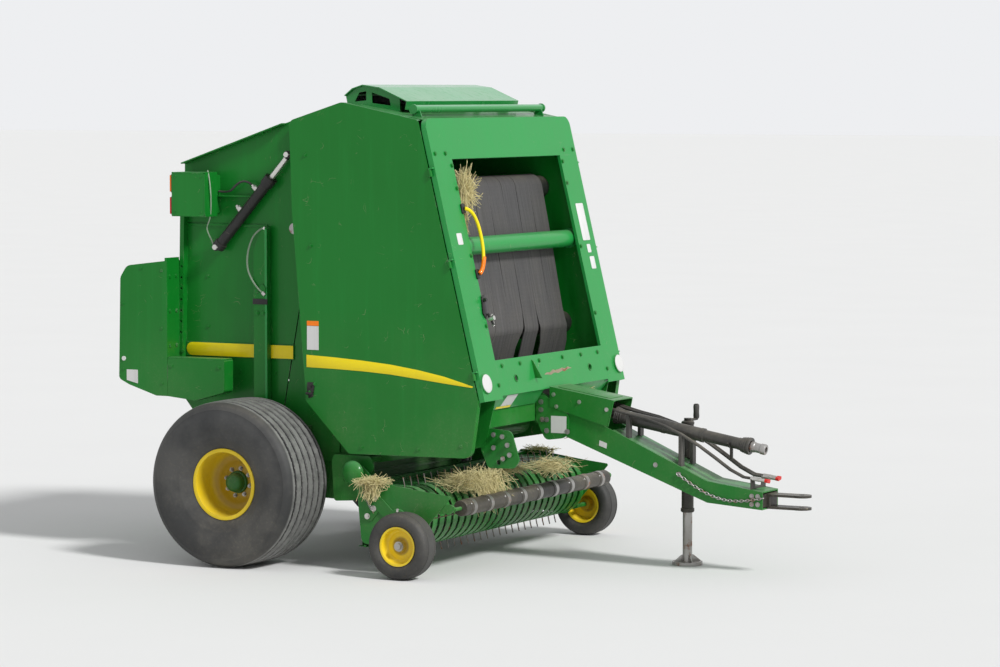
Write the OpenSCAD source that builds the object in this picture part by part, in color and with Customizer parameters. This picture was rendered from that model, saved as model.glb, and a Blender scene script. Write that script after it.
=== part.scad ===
// Round baler with a rear gate, a wide tined pickup and a towing tongue, standing on its wheels and its jack.
// X points to the hitch, Y to the machine's left side, Z up. Places in X are first counted from the axle and
// then moved by origin_x, so that the origin lies on the ground under the middle of the whole machine.

/* [Chamber and side sheets] */
// Half the clear width between the side sheets
chamber_half = 780; // [700:5:820]
// Thickness of the side sheets
sheet_t = 6; // [4:1:8]
// Room from a side sheet out to the side shield's outer face
side_room = 194; // [190:1:200]
// Height of the lower edge of the side sheets over the ground
sheet_low_z = 640; // [610:5:680]
// Gap between the gate's sheets and the front sheets
split_gap = 8; // [6:1:14]

/* [Front face] */
// How far the front face leans back, in degrees
rake = 13.7; // [8:0.1:18]
// Where the front face would meet the ground, ahead of the axle
face_foot_x = 1920; // [1800:5:2000]
// How far the front face's edges lie inside the shields' outer faces
face_inset = 10; // [8:1:14]
// Height of the header's upper edge
face_top_z = 2790; // [2700:5:2850]
// Height of the header over the opening
header_h = 250; // [200:5:300]
// Height of the opening's lower edge
opening_low_z = 1310; // [1200:5:1450]
// Height of the lower edge of the columns
column_low_z = 1075; // [1040:5:1150]
// Width of the columns inside the side sheets
column_in = 50; // [35:5:110]
// Depth of the folded edges over and under the face
face_fold = 20; // [14:1:28]
// Depth of the folded edges beside the shields
side_fold = 36; // [30:1:36]
// Depth of the folded edges round the opening
reveal_depth = 20; // [12:1:26]
// Thickness of the face's sheet
face_t = 4; // [3:1:6]
// Radius of the round discs low on the columns
disc_r = 60; // [40:2:70]
// Height of the disc centres
disc_z = 1180; // [1150:5:1220]

/* [Belts and rollers] */
// Number of belts side by side
belt_count = 7; // [5:1:8]
// Room between an outer belt's pitch and the side sheet
belt_room = 31; // [10:1:60]
// Gap between two belts
belt_gap = 24; // [16:1:60]
// Thickness of a belt
belt_t = 8; // [5:1:12]
// Distance of the belts' front run behind the front face
belt_back = 160; // [150:2:180]
// Radius of the large rollers
roller_r = 75; // [50:1:90]
// Radius of the green cross tube in the opening
cross_tube_r = 56; // [40:1:66]
// Height of the cross tube
cross_tube_z = 2000; // [1850:5:2150]

/* [Gate] */
// Gate pivot ahead of the axle
pivot_x = 270; // [240:2:300]
// Gate pivot height
pivot_z = 2735; // [2700:1:2750]
// Radius of the gate's pivot pins
pivot_r = 20; // [14:1:26]
// Gate's rear edge behind the axle
gate_rear_x = 640; // [600:5:700]
// Depth of the flanges on the gate's sides
gate_flange = 50; // [30:2:60]
// Width of the yellow stripe rib on the gate
rib_w = 90; // [60:2:120]

/* [Net box] */
// Rear face of the net box behind the axle
net_rear_x = 994; // [900:2:1100]
// Thickness of the box sheets
box_t = 5; // [3:1:8]

/* [Side shields] */
// Depth of the shields' folded edges
shield_fold = 40; // [25:1:44]
// Thickness of the shields' sheet
shield_t = 4; // [3:1:6]
// Distance of the shield's hinge axis behind the front face
hinge_back = 29; // [28:1:36]
// Radius of the hinge pins
hinge_r = 6; // [4:0.5:8]

/* [Main wheels] */
// Radius of the main tyres
tyre_r = 520; // [480:5:560]
// Width of the main tyres
tyre_w = 520; // [460:2:526]
// Gap between a side sheet and the tyre beside it
tyre_room = 74; // [66:2:104]
// Radius of the rim's barrel
rim_r = 205; // [190:1:225]
// Radius of the wheel spindles
spindle_r = 30; // [22:1:36]
// Side of the square axle beam
axle_side = 120; // [90:2:130]

/* [Pickup] */
// Pickup hinge ahead of the axle
pickup_x = 740; // [720:2:760]
// Pickup hinge height
pickup_z = 600; // [580:2:620]
// Reel centre ahead of the axle
reel_x = 1120; // [1100:2:1140]
// Reel centre height
reel_z = 345; // [335:1:360]
// Radius to the tine tips
tine_tip_r = 250; // [225:1:256]
// Radius of the tine bars' circle
bar_circle_r = 120; // [100:1:130]
// Radius of one tine bar
bar_r = 14; // [10:1:18]
// Number of tine bars
bar_count = 4; // [3:1:6]
// Number of tine places along one bar
tine_count = 24; // [12:1:30]
// Distance of the outer stripper bands' middle from the end plates
tine_room = 36; // [30:1:60]
// Thickness of one tine
tine_t = 8; // [5:1:9]
// Outer radius of the stripper bands
band_r = 190; // [175:1:205]
// Thickness of the bands' sheet
band_t = 4; // [3:0.5:6]
// Width of one band
band_w = 56; // [40:1:62]
// How far the pickup's end plates stand outside the shields
pickup_room = 100; // [90:2:110]

/* [Gauge wheels] */
// Radius of the gauge wheels
gauge_r = 205; // [180:1:220]
// Width of the gauge tyres
gauge_w = 165; // [120:1:180]
// Gauge wheel centre ahead of the axle
gauge_x = 1240; // [1200:2:1280]
// Gap between a gauge wheel's arm and its tyre
gauge_room = 73.5; // [60:0.5:90]

/* [Tongue and hitch] */
// Hitch pin ahead of the axle
hitch_x = 3330; // [3200:5:3450]
// Height of the hitch eye's middle
hitch_z = 460; // [420:5:500]
// Radius of the hitch pin hole
hitch_bore_r = 16.5; // [14:0.5:20]
// Half the width of the tongue
tongue_half = 120; // [100:2:140]
// Thickness of the tongue's plates
tongue_t = 8; // [6:1:12]
// Jack's place ahead of the axle
jack_x = 2480; // [2350:5:2600]
// Radius of the jack's leg
jack_r = 30; // [24:1:36]

/* [Drive shaft] */
// Radius of the outer guard tube
guard_r = 42; // [36:1:48]
// Radius of the bore in the shaft's end yoke
yoke_bore_r = 17.5; // [14:0.5:22]

/* [Hidden] */
$fn = 48;

green = [0.10, 0.45, 0.14];
dark_green = [0.05, 0.25, 0.09];
yellow = [0.93, 0.75, 0.08];
black = [0.06, 0.06, 0.06];
rubber = [0.13, 0.13, 0.13];
belt_grey = [0.20, 0.20, 0.21];
steel = [0.65, 0.66, 0.67];

running = 0.05;
seat = 0.3;
front_reach = hitch_x + 60;
origin_x = (net_rear_x - front_reach) / 2;

lean = tan(rake);
sheet_out = chamber_half + sheet_t;
outer_half = sheet_out + side_room;
face_half = outer_half - face_inset;
opening_half = chamber_half - column_in;
opening_top_z = face_top_z - header_h;
belt_pitch = 2 * (chamber_half - belt_room) / belt_count;
belt_w = belt_pitch - belt_gap;
wheel_y = sheet_out + tyre_room + tyre_w / 2;
pickup_half = outer_half + pickup_room;
tine_pitch = 2 * (pickup_half - tine_room) / tine_count;
arm_t = 8;
plate_t = 6;
gauge_y = pickup_half + plate_t + arm_t + gauge_room + gauge_w / 2;
face_len_top = face_top_z / cos(rake);
face_len_seam = opening_top_z / cos(rake);
face_len_open = opening_low_z / cos(rake);
face_len_low = column_low_z / cos(rake);
hinge_y = outer_half + 5;

// Helpers for places and plates

module placed() {
    translate([origin_x, 0, 0]) children();
}

module left_only() {
    placed() children();
}

module right_only() {
    placed() mirror([0, 1, 0]) children();
}

module both_sides() {
    placed() {
        children();
        mirror([0, 1, 0]) children();
    }
}

// A plate cut to an outline in X and Z, from y_in outwards to y_in + t.
module plate_xz(points, y_in, t) {
    translate([0, y_in + t, 0]) rotate([90, 0, 0]) linear_extrude(height = t) polygon(points);
}

// A round bar along Y from y1 to y2.
module bar_y(x, z, r, y1, y2) {
    translate([x, y1, z]) rotate([-90, 0, 0]) cylinder(h = y2 - y1, r = r);
}

// A round bar between two points of one X and Z plane at a given y.
module bar_xz(a, b, r, y) {
    length = norm(b - a);
    angle = atan2(b[0] - a[0], b[1] - a[1]);
    translate([a[0], y, a[1]]) rotate([0, angle, 0]) cylinder(h = length, r = r);
}

// A round bar between any two points.
module bar_3d(a, b, r) {
    d = b - a;
    length = norm(d);
    translate(a) rotate([0, acos(d[2] / length), atan2(d[1], d[0])]) cylinder(h = length, r = r);
}

// The raked frame: its X is the face's outward normal and its Z runs up the face.
module on_face() {
    translate([face_foot_x, 0, 0]) rotate([0, -rake, 0]) children();
}

function face_x(z) = face_foot_x - lean * z;

// One corner of an outline, rounded with radius r between its two neighbours.
function unit(v) = v / norm(v);
function corner(a, b, c, r, n) =
    r <= 0 ? [b] :
    let (u = unit(a - b), w = unit(c - b))
    let (half = acos(u * w) / 2, reach = r / tan(half))
    let (centre = b + unit(u + w) * r / sin(half))
    let (p = b + u * reach - centre, q = b + w * reach - centre)
    [for (i = [0 : n]) centre + unit(p * (n - i) + q * i) * r];

// Outline from rows of [x, z, corner radius].
function rounded(rows, n = 4) = [
    for (i = [0 : len(rows) - 1])
    let (k = len(rows), a = rows[(i + k - 1) % k], b = rows[i], c = rows[(i + 1) % k])
    each corner([a[0], a[1]], [b[0], b[1]], [c[0], c[1]], b[2], n)
];

// Rows moved inwards by a distance for each edge; edge i runs from row i to row i + 1.
function cross2(a, b) = a[0] * b[1] - a[1] * b[0];
function inset_rows(rows, d) = [
    for (i = [0 : len(rows) - 1])
    let (k = len(rows), j = (i + k - 1) % k)
    let (p = [rows[j][0], rows[j][1]], q = [rows[i][0], rows[i][1]], s = [rows[(i + 1) % k][0], rows[(i + 1) % k][1]])
    let (u = unit(q - p), w = unit(s - q))
    let (a = q + [-u[1], u[0]] * d[j], b = q + [-w[1], w[0]] * d[i])
    let (t = cross2(b - a, w) / cross2(u, w))
    [a[0] + u[0] * t, a[1] + u[1] * t, max(rows[i][2] - (d[i] + d[j]) / 2, 0)]
];

// A band of even thickness along a path in X and Z.
function side_points(path, h) = [
    for (i = [0 : len(path) - 1])
    let (u = i > 0 ? unit(path[i] - path[i - 1]) : unit(path[1] - path[0]))
    let (w = i < len(path) - 1 ? unit(path[i + 1] - path[i]) : u)
    let (m = unit(u + w))
    path[i] + [-m[1], m[0]] * h / (m * u)
];
function reversed(list) = [for (i = [len(list) - 1 : -1 : 0]) list[i]];
function strip(path, t) = concat(side_points(path, 0), reversed(side_points(path, t)));
// An arc whose chords stay outside radius r.
function wrap(cx, cz, r, a1, a2, n) = arc(cx, cz, (r + 0.2) / cos((a2 - a1) / n / 2), a1, a2, n);
function arc(cx, cz, r, a1, a2, n) = [
    for (i = [0 : n]) let (a = a1 + (a2 - a1) * i / n) [cx + r * cos(a), cz + r * sin(a)]
];

// Main outlines, in X from the axle and Z from the ground

gate_top_rear_z = face_top_z - 290;
gate_low_z = 1020;
gate_rear_lean = 30;
gate_eye_r = 60;
gate_eye_end = 106.5;
function gate_rear_at(z) = -gate_rear_x + gate_rear_lean * (z - gate_low_z) / (gate_top_rear_z - gate_low_z);
function gate_edge_z(x) = lookup(x, [[gate_rear_at(gate_top_rear_z), gate_top_rear_z],
    [pivot_x + gate_eye_r * cos(gate_eye_end), pivot_z + gate_eye_r * sin(gate_eye_end)]]);
gate_low = [[-gate_rear_x, gate_low_z], [-430, 760], [60, sheet_low_z]];
split_kink = [pivot_x + gate_eye_r, 2100];
gate_outline = concat(
    gate_low,
    [split_kink],
    arc(pivot_x, pivot_z, gate_eye_r, 0, gate_eye_end, 8),
    [[gate_rear_at(gate_top_rear_z), gate_top_rear_z]]
);

module gate_sheet_2d() {
    polygon(gate_outline);
}

roof_t = 5;
roof_path = [[pivot_x + 190, face_top_z + 32], [660, face_top_z + 78], [face_x(face_top_z) - face_fold - 1, face_top_z - 15]];
function roof_z(x) = lookup(x, roof_path) + roof_t + seat;
weld = 0.2;
sheet_step_z = column_low_z + 6;
function back_of_face(z) = face_x(z) - (face_t + weld) / cos(rake);
sheet_outline = [
    [60 + split_gap, sheet_low_z], [pickup_x + 20, sheet_low_z], [1560, 780], [1630, column_low_z - 10],
    [1634, sheet_step_z], [back_of_face(sheet_step_z), sheet_step_z],
    [back_of_face(face_top_z - 26), face_top_z - 26],
    [roof_path[2][0] - 8, roof_path[2][1] - 9], roof_path[1], roof_path[0],
    [pivot_x + 60 + split_gap, pivot_z + 58], [split_kink[0] + split_gap, split_kink[1]]
];

module side_sheets() color(green) both_sides() {
    plate_xz(sheet_outline, chamber_half, sheet_t);
    // vertical and sloping stiffeners, rows of [x low, z low, x high, z high]
    for (row = [[520, 700, 520, face_top_z - 90], [900, 700, 900, face_top_z - 90], [420, 1850, 1290, 1850]])
        stiffener([row[0], row[1]], [row[2], row[3]]);
    // bosses that carry the lift cylinders
    bar_y(lift_base[0], lift_base[1], 34, sheet_out, lift_in - seat);
    // outer plates that hold the gate's pivot pins
    plate_xz(pivot_plate, sheet_out + 22, 12);
    bar_y(pivot_x + 130, pivot_z - 20, 30, sheet_out, sheet_out + 22);
    bar_y(pivot_x + 130, pivot_z - 110, 30, sheet_out, sheet_out + 22);
    bar_y(pivot_x, pivot_z, pivot_r, chamber_half, sheet_out + 22);
}
pivot_plate = rounded([[pivot_x - 45, pivot_z - 50, 40], [pivot_x + 170, pivot_z - 160, 30],
    [pivot_x + 190, pivot_z + 40, 30], [pivot_x - 45, pivot_z + 45, 40]]);
lift_base = [1150, 1350];
lift_top = [280, 2100];
lift_in = sheet_out + 94;
lift_eye_t = 40;
lift_rod_r = 19;

module stiffener(a, b) {
    u = unit(b - a) * 20;
    side = [-u[1], u[0]];
    plate_xz([a - side, b - side, b + side, a + side], sheet_out, 24);
}

post_y = sheet_out + 22;
post_t = 42;
post_back = -60;
post_front = 40;
post_top_z = face_top_z - 682;
module gate_posts() color(green) both_sides() {
    difference() {
        plate_xz([[post_back, axle_top], [post_front, axle_top], [post_front, post_top_z - 16], [20, post_top_z],
            [0, post_top_z - 4], [post_back, post_top_z - 158]], post_y, post_t);
        plate_xz([[post_back - 1, axle_top + 60], [post_front - 5, axle_top + 60], [post_front - 5, post_top_z - 48],
            [5, post_top_z - 38], [post_back - 1, post_top_z - 183]], post_y - 1, post_t - 4);
    }
}

module face_panel(z1, z2, half, r_top) {
    // a rounded plate in the raked frame, from z1 to z2 along the face
    translate([-face_t, 0, 0]) rotate([90, 0, 90]) linear_extrude(height = face_t) difference() {
        polygon(rounded([[-half, z1, 0], [half, z1, 0], [half, z2, r_top], [-half, z2, r_top]]));
    }
}

module front_columns() color(green) placed() on_face() {
    for (s = [0, 1]) mirror([0, s, 0]) {
        w = face_half - opening_half;
        // front sheet, outer fold, reveal beside the opening, lower fold
        translate([-face_t, opening_half, face_len_low]) cube([face_t, w, face_len_seam - face_len_low]);
        translate([-side_fold, face_half - face_t, face_len_low])
            cube([side_fold, face_t, face_len_seam - face_len_low]);
        translate([-reveal_depth, opening_half, face_len_open])
            cube([reveal_depth, face_t, face_len_seam - face_len_open]);
        translate([-face_fold, opening_half, face_len_low]) cube([face_fold, w, face_t]);
        // round disc low on the column
        translate([0, face_half - 55, disc_z / cos(rake)]) rotate([0, 90, 0]) cylinder(h = 12, r = disc_r);
        // hinge lugs and pins for the side shield
        for (z = hinge_places) hinge_lug(z);
    }
}
hinge_places = [1290, 1990, face_len_top - 312];
hinge_len = 44;
module hinge_lug(z) {
    translate([-hinge_back, hinge_y, z]) {
        cylinder(h = 8, r = 8);
        translate([0, 0, -hinge_len]) cylinder(h = hinge_len + 4, r = hinge_r);
    }
    translate([-hinge_back, face_half - face_t, z]) cube([hinge_back - 4, hinge_y + 8 - face_half + face_t, 8]);
}

module front_header() color(green) placed() on_face() {
    face_panel(face_len_seam, face_len_top, face_half, 60);
    for (s = [0, 1]) mirror([0, s, 0])
        translate([-side_fold, face_half - face_t, face_len_seam])
            cube([side_fold, face_t, face_len_top - face_len_seam - 66]);
    translate([-reveal_depth, -opening_half, face_len_seam]) cube([reveal_depth, 2 * opening_half, face_t]);
    translate([-face_fold, -face_half + 66, face_len_top - face_t])
        cube([face_fold, 2 * face_half - 132, face_t]);
}

panel_up = 20;
panel_hole_z = 1187;
tongue_tube = [1500, 892, 66, 110];
tube_top = tongue_tube[1] + tongue_tube[3] + seat;
apron_in = tongue_half + 30;
apron_path = [[tongue_tube[0] + 20, tube_top], [tongue_tube[0] + 76, tube_top], [1645, 1096]];
module lower_cross_panel() color(green) {
    placed() on_face() {
        difference() {
            translate([-face_t, -opening_half, face_len_low + panel_up])
                cube([face_t, 2 * opening_half, face_len_open - face_len_low - panel_up]);
            for (s = [-1, 1]) translate([-face_t - 1, s * 510, panel_hole_z / cos(rake)]) rotate([0, 90, 0])
                cylinder(h = face_t + 2, r = 17);
        }
        for (z = [face_len_open - face_t, face_len_low + panel_up]) translate([-reveal_depth, -opening_half, z])
            cube([reveal_depth, 2 * opening_half, face_t]);
    }
    // aprons from the panel's lower fold back to the tongue's cross tube
    both_sides() plate_xz(strip(apron_path, face_t), apron_in, opening_half + 40 - apron_in);
}

tube_x = face_x(cross_tube_z) - 88;
module cross_tube() color(green) placed() {
    bar_y(tube_x, cross_tube_z, cross_tube_r, -chamber_half, chamber_half);
    for (s = [0, 1]) mirror([0, s, 0]) bar_y(tube_x, cross_tube_z, cross_tube_r + 8, chamber_half - 10, chamber_half);
}

top_roller = [face_x(face_top_z - 460) - belt_back - roller_r + 5, face_top_z - 460];
bend_roller = [face_x(1450) - belt_back - roller_r - 42, 1450];
low_roller = [1150, 900];
front_belt_path = concat(
    wrap(top_roller[0], top_roller[1], roller_r, 130, 13, 6),
    wrap(bend_roller[0], bend_roller[1], roller_r, 13, -24, 3),
    wrap(low_roller[0], low_roller[1], roller_r, -20, -100, 5)
);
module front_belts() color(belt_grey) placed() for (i = [0 : belt_count - 1]) {
    y = (i - (belt_count - 1) / 2) * belt_pitch;
    translate([0, y + belt_w / 2, 0]) rotate([90, 0, 0]) linear_extrude(height = belt_w)
        polygon(strip(front_belt_path, belt_t));
}

module front_rollers() color(black) placed()
    for (p = [top_roller, bend_roller, low_roller]) bar_y(p[0], p[1], roller_r, -chamber_half, chamber_half);

module roof_deck() color(green) placed() plate_sym(strip(roof_path, roof_t), face_half - 45);
module plate_sym(points, half) {
    plate_xz(points, -half, 2 * half);
}

lid_path = [for (p = [[545, 135], [600, 178], [672, 200], [790, 184], [985, 100], [975, 52]]) [p[0], face_top_z + p[1]]];
lid_half = chamber_half - 40;
lid_t = 6;
bar_x = 1100;
bar_z = face_top_z + 56;
bar_half = outer_half - 130;
module roof_lid() color(green) placed() {
    plate_sym(strip(lid_path, lid_t), lid_half);
    under = side_points(lid_path, 2);
    for (s = [0, 1]) mirror([0, s, 0]) {
        // cheeks that stand on the deck, each with two openings
        difference() {
            plate_xz(concat([[560, roof_z(560)], [660, roof_z(660)], [930, roof_z(930)], under[3] * 0.3 + under[4] * 0.7],
                [for (i = [3 : -1 : 0]) under[i]]), lid_half - 24, 6);
            for (hole = lid_holes) plate_xz([for (p = hole) [p[0], face_top_z + p[1]]], lid_half - 25, 8);
        }
        // bracket of the front bar
        plate_xz([[bar_x - 30, roof_z(bar_x - 30)], [bar_x + 40, roof_z(bar_x + 40)], [bar_x + 20, bar_z],
            [bar_x - 20, bar_z]], bar_half - 40, 8);
        bar_y(bar_x, bar_z, 29, bar_half - 4, bar_half + 10);
    }
    bar_y(bar_x, bar_z, 24, -bar_half, bar_half);
}
lid_holes = [[[605, 100], [690, 108], [690, 165], [640, 158]], [[730, 92], [865, 76], [855, 118], [730, 158]]];

axle_top = tyre_r + axle_side / 2;
axle_low = tyre_r - axle_side / 2;
module axle_beam() color(dark_green) placed() {
    translate([-axle_side / 2, -axle_end, axle_low]) cube([axle_side, 2 * axle_end, axle_side]);
    for (s = [0, 1]) mirror([0, s, 0]) {
        bar_y(0, tyre_r, spindle_r, axle_end, wheel_y + 55);
        plate_xz([[-axle_side / 2, axle_low], [axle_side / 2, axle_low], [330, 700], [330, 860], [200, 860],
            [axle_side / 2, axle_top + 60], [-axle_side / 2, axle_top]], sheet_out + 6, 14);
        plate_xz([[200, 680], [320, 700], [320, 850], [210, 850]], sheet_out, 6);
    }
}
axle_end = post_y + post_t;

side_low_plate = rounded([[545, 655, 10], [560, 408, 20], [711, 418, 30], [850, 630, 20], [820, 700, 20], [560, 700, 20]]);
side_low_y = outer_half - 75;
pickup_pin_r = 20;
module lower_side_plates() color(green) both_sides() {
    difference() {
        plate_xz(side_low_plate, side_low_y, 6);
        bar_y(pickup_x, pickup_z, pickup_pin_r + running, side_low_y - 5, side_low_y + 10);
    }
    for (p = [[600, 665], [806, 675]]) bar_y(p[0], p[1], 22, sheet_out, side_low_y);
}

// Domed caps over the pickup's hinge pins, each on a plate that is welded to the side sheet
module dome_caps() color(green) both_sides() {
    plate_xz(rounded([[pickup_x - 40, pickup_z - 42, 30], [pickup_x + 40, pickup_z - 42, 30], [pickup_x + 40, 720, 10],
        [pickup_x - 40, 720, 10]]), sheet_out, 12);
    translate([pickup_x, outer_half + 5, pickup_z]) rotate([-90, 0, 0]) rotate_extrude()
        polygon(concat([[0, 0], [75, 0]], [for (a = [10 : 10 : 90]) [75 * cos(a), 45 * sin(a)]]));
    bar_y(pickup_x, pickup_z, pickup_pin_r, sheet_out + 4, outer_half + 8);
}

bracket_rows = rounded([[1530, 760, 20], [1580, 652, 30], [1760, 655, 40], [1795, 705, 30], [1740, 885, 40], [1540, 900, 20]]);
bracket_bolts = [[1625, 780], [1625, 860], [1690, 715], [1735, 740], [1720, 800], [1685, 850]];
module front_brackets() color(green) both_sides() {
    difference() {
        plate_xz(bracket_rows, chamber_half - 10, 10);
        translate([tongue_tube[0] - 10, chamber_half - 11, tongue_tube[1] - 1])
            cube([tongue_tube[2] + 11, 12, tongue_tube[3] + 2]);
        bar_y(1650, 690, 16, chamber_half - 11, chamber_half + 1);
    }
    for (p = bracket_bolts) bar_y(p[0], p[1], 13, chamber_half, chamber_half + 16);
}

// Tongue: rows of [x, middle height, half depth]
tongue_rows = [[1560, 985, 105], [1700, 927, 100], [2750, 500, 66], [hitch_x - 210, 462, 55]];
tongue_top = [for (r = tongue_rows) [r[0], r[1] + r[2]]];
tongue_bottom = [for (r = tongue_rows) [r[0], r[1] - r[2]]];
tongue_cover_x = 2100;
cover_proud = 1;
ear_t = 12;
module tongue() color(green) placed() {
    for (s = [0, 1]) mirror([0, s, 0]) {
        plate_xz(concat(tongue_bottom, reversed(tongue_top)), tongue_half - tongue_t, tongue_t);
        plate_xz(rounded([[1575, 900, 20], [1640, 770, 40], [1790, 790, 50], [1810, 940, 60], [1640, 1050, 30], [1575, 1050, 10]]),
            tongue_half, ear_t);
    }
    // top plate ahead of the gearbox, and a bottom plate
    cover = [for (x = [tongue_cover_x, tongue_rows[2][0], tongue_rows[3][0]]) [x, tongue_top_at(x)]];
    plate_sym(concat(cover, reversed([for (p = cover) [p[0], p[1] - tongue_t]])), tongue_half - tongue_t);
    plate_sym(concat(tongue_bottom, reversed([for (p = tongue_bottom) [p[0], p[1] + tongue_t]])), tongue_half - tongue_t);
    // cross tube that carries the tongue between the front brackets
    translate([tongue_tube[0], -chamber_half + seat, tongue_tube[1]])
        cube([tongue_tube[2], 2 * (chamber_half - seat), tongue_tube[3]]);
}

module hitch() color(black) placed() {
    nose_x = hitch_x - 210;
    translate([nose_x - 90, -tongue_half + tongue_t, hitch_z - 37]) cube([90, 2 * (tongue_half - tongue_t), 77]);
    for (z = [hitch_z - 50, hitch_z + 25]) difference() {
        union() {
            translate([nose_x, -55, z]) cube([210, 110, 15]);
            translate([hitch_x, 0, z]) cylinder(h = 15, r = 55 + 5);
        }
        translate([hitch_x, 0, z - 1]) cylinder(h = 17, r = hitch_bore_r);
    }
    translate([nose_x, -55, hitch_z - 50]) cube([20, 110, 90]);
}

gear_front = 1745;
module gearbox() color(black) placed() {
    translate([1566, -100, 905]) cube([gear_front - 1566 - 40, 200, 150]);
    translate([gear_front - 42, 0, shaft_a[1]]) rotate([0, 90, 0]) cylinder(h = 42, r = 62);
    // feet on the tongue's side plates
    for (y = [-tongue_half + tongue_t, 99]) translate([1590, y, 940]) cube([90, 13, 40]);
}

hood_in = tongue_half + ear_t + seat / 3;
module gearbox_hood() color(green) placed() {
    for (s = [0, 1]) mirror([0, s, 0])
        plate_xz([[1672, 985], [1790, 950], [2080, 872], [2118, 1033], [1672, 1103]], hood_in, 4);
    plate_sym([[1672, 1103], [2118, 1033], [2118, 1039], [1672, 1109]], hood_in + 4);
}

shaft_a = [gear_front, 990];
shaft_slope = 9.5;
function shaft_at(d) = [shaft_a[0] + d * cos(shaft_slope), shaft_a[1] - d * sin(shaft_slope)];
// Parts of the shaft, rows of [start, length, radius] along it
shaft_rows = [[0.5, 340, 28], [330, 60, 56], [390, 560, guard_r], [950, 260, guard_r - 6], [1205, 60, 54], [1265, 100, 34]];
module drive_shaft() color(black) placed() {
    difference() {
        translate([shaft_a[0], 0, shaft_a[1]]) rotate([0, 90 + shaft_slope, 0]) difference() {
            union() for (row = shaft_rows) translate([0, 0, row[0]]) cylinder(h = row[1], r = row[2]);
            translate([0, 0, 1305]) cylinder(h = 62, r = yoke_bore_r);
        }
        translate([gear_front - 60, -40, shaft_a[1] - 60]) cube([60, 80, 120]);
    }
    // holder that the parked shaft lies in
    p = shaft_at(1130);
    plate_sym([[p[0] - 8, tongue_top_at(p[0] - 8) + seat], [p[0] + 8, tongue_top_at(p[0] + 8) + seat],
        [p[0] + 8, p[1] - guard_r + 8], [p[0] - 8, p[1] - guard_r + 8]], 10);
}
function tongue_top_at(x) = lookup(x, tongue_top) + cover_proud;

jack_y = tongue_half + 60;
module jack_tube() color(black) placed() {
    difference() {
        translate([jack_x, jack_y, 330]) cylinder(h = 560, r = jack_r + 8);
        translate([jack_x, jack_y, 329]) cylinder(h = 545, r = jack_r + running);
    }
    translate([jack_x - 50, tongue_half, 560]) cube([100, jack_y - tongue_half - jack_r - 4, 120]);
    translate([jack_x, jack_y, 890]) cylinder(h = 30, r = 24);
    bar_3d([jack_x, jack_y, 905], [jack_x, jack_y + 130, 905], 9);
    bar_3d([jack_x, jack_y + 125, 900], [jack_x, jack_y + 125, 1000], 12);
}

module jack_leg() color(steel) placed() {
    translate([jack_x, jack_y, 20]) cylinder(h = 500, r = jack_r);
    translate([jack_x, jack_y, 0]) cylinder(h = 20, r = 95);
}

// Hose route, rows of [x, y, z], held by clips on the tongue's top
hose_route = [[gear_front - 38, 84, 1010], [1800, 84, 1018], [1900, 84, 1016], [2000, 84, 1000], [2100, 84, 974],
    [2200, 84, 950], [2320, 84, 926], [2440, 84, 890], [2560, 84, 840], [2680, 84, 776], [2790, 84, 706],
    [2890, 84, 640], [2980, 84, 598], [3060, 84, 590]];
hose_r = 9;
hose_gap = 24;

// One ring of a tube that follows a path, and the tube itself.
function ring(path, i, r, n) =
    let (a = path[max(i - 1, 0)], b = path[min(i + 1, len(path) - 1)])
    let (u = unit(b - a), side = unit(cross(u, [0, 1, 0])), up = cross(side, u))
    [for (k = [0 : n - 1]) path[i] + side * r * cos(360 * k / n) + up * r * sin(360 * k / n)];
module tube(path, r, n) {
    rings = len(path);
    points = [for (i = [0 : rings - 1]) each ring(path, i, r, n)];
    walls = [for (i = [0 : rings - 2]) for (k = [0 : n - 1]) for (half = [0, 1])
        let (a = i * n + k, b = i * n + (k + 1) % n)
        half == 0 ? [a, b, a + n] : [b, b + n, a + n]];
    first = [[for (k = [n - 1 : -1 : 0]) k]];
    last = [[for (k = [0 : n - 1]) (rings - 1) * n + k]];
    polyhedron(points = points, faces = concat(first, walls, last));
}
clip_x = [2200, 2560];
module hoses() color(black) both_sides() {
    for (k = [0, 1])
        tube([for (p = hose_route) [p[0], p[1] + k * hose_gap - hose_gap / 2, p[2] + k * 4]], hose_r, 8);
    // clips that stand on the tongue
    for (x = clip_x) {
        top = lookup(x, [for (p = hose_route) [p[0], p[2]]]);
        plate_xz([[x - 10, tongue_top_at(x - 10) + seat], [x + 10, tongue_top_at(x + 10) + seat], [x + 10, top], [x - 10, top]],
            84 - 24, 48);
    }
}

// Outline of a chain's run round sprockets, rows of [x, z, pitch radius], anticlockwise.
function leaving(a, b) = atan2(b[1] - a[1], b[0] - a[0]) - acos((a[2] - b[2]) / norm([b[0] - a[0], b[1] - a[1]]));
function run(rows, out) = [
    for (i = [0 : len(rows) - 1])
    let (n = len(rows), c = rows[i], a1 = leaving(rows[(i + n - 1) % n], c), a2 = leaving(c, rows[(i + 1) % n]))
    let (turn = a2 - a1 - 360 * floor((a2 - a1) / 360))
    each arc(c[0], c[1], c[2] + out, a1, a1 + turn, 8)
];
drive_shaft_at = [1380, 990];
starter_at = [760, 1080];
chain_w = 14;
chain_h = 14;
sprocket_t = 8;
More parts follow.
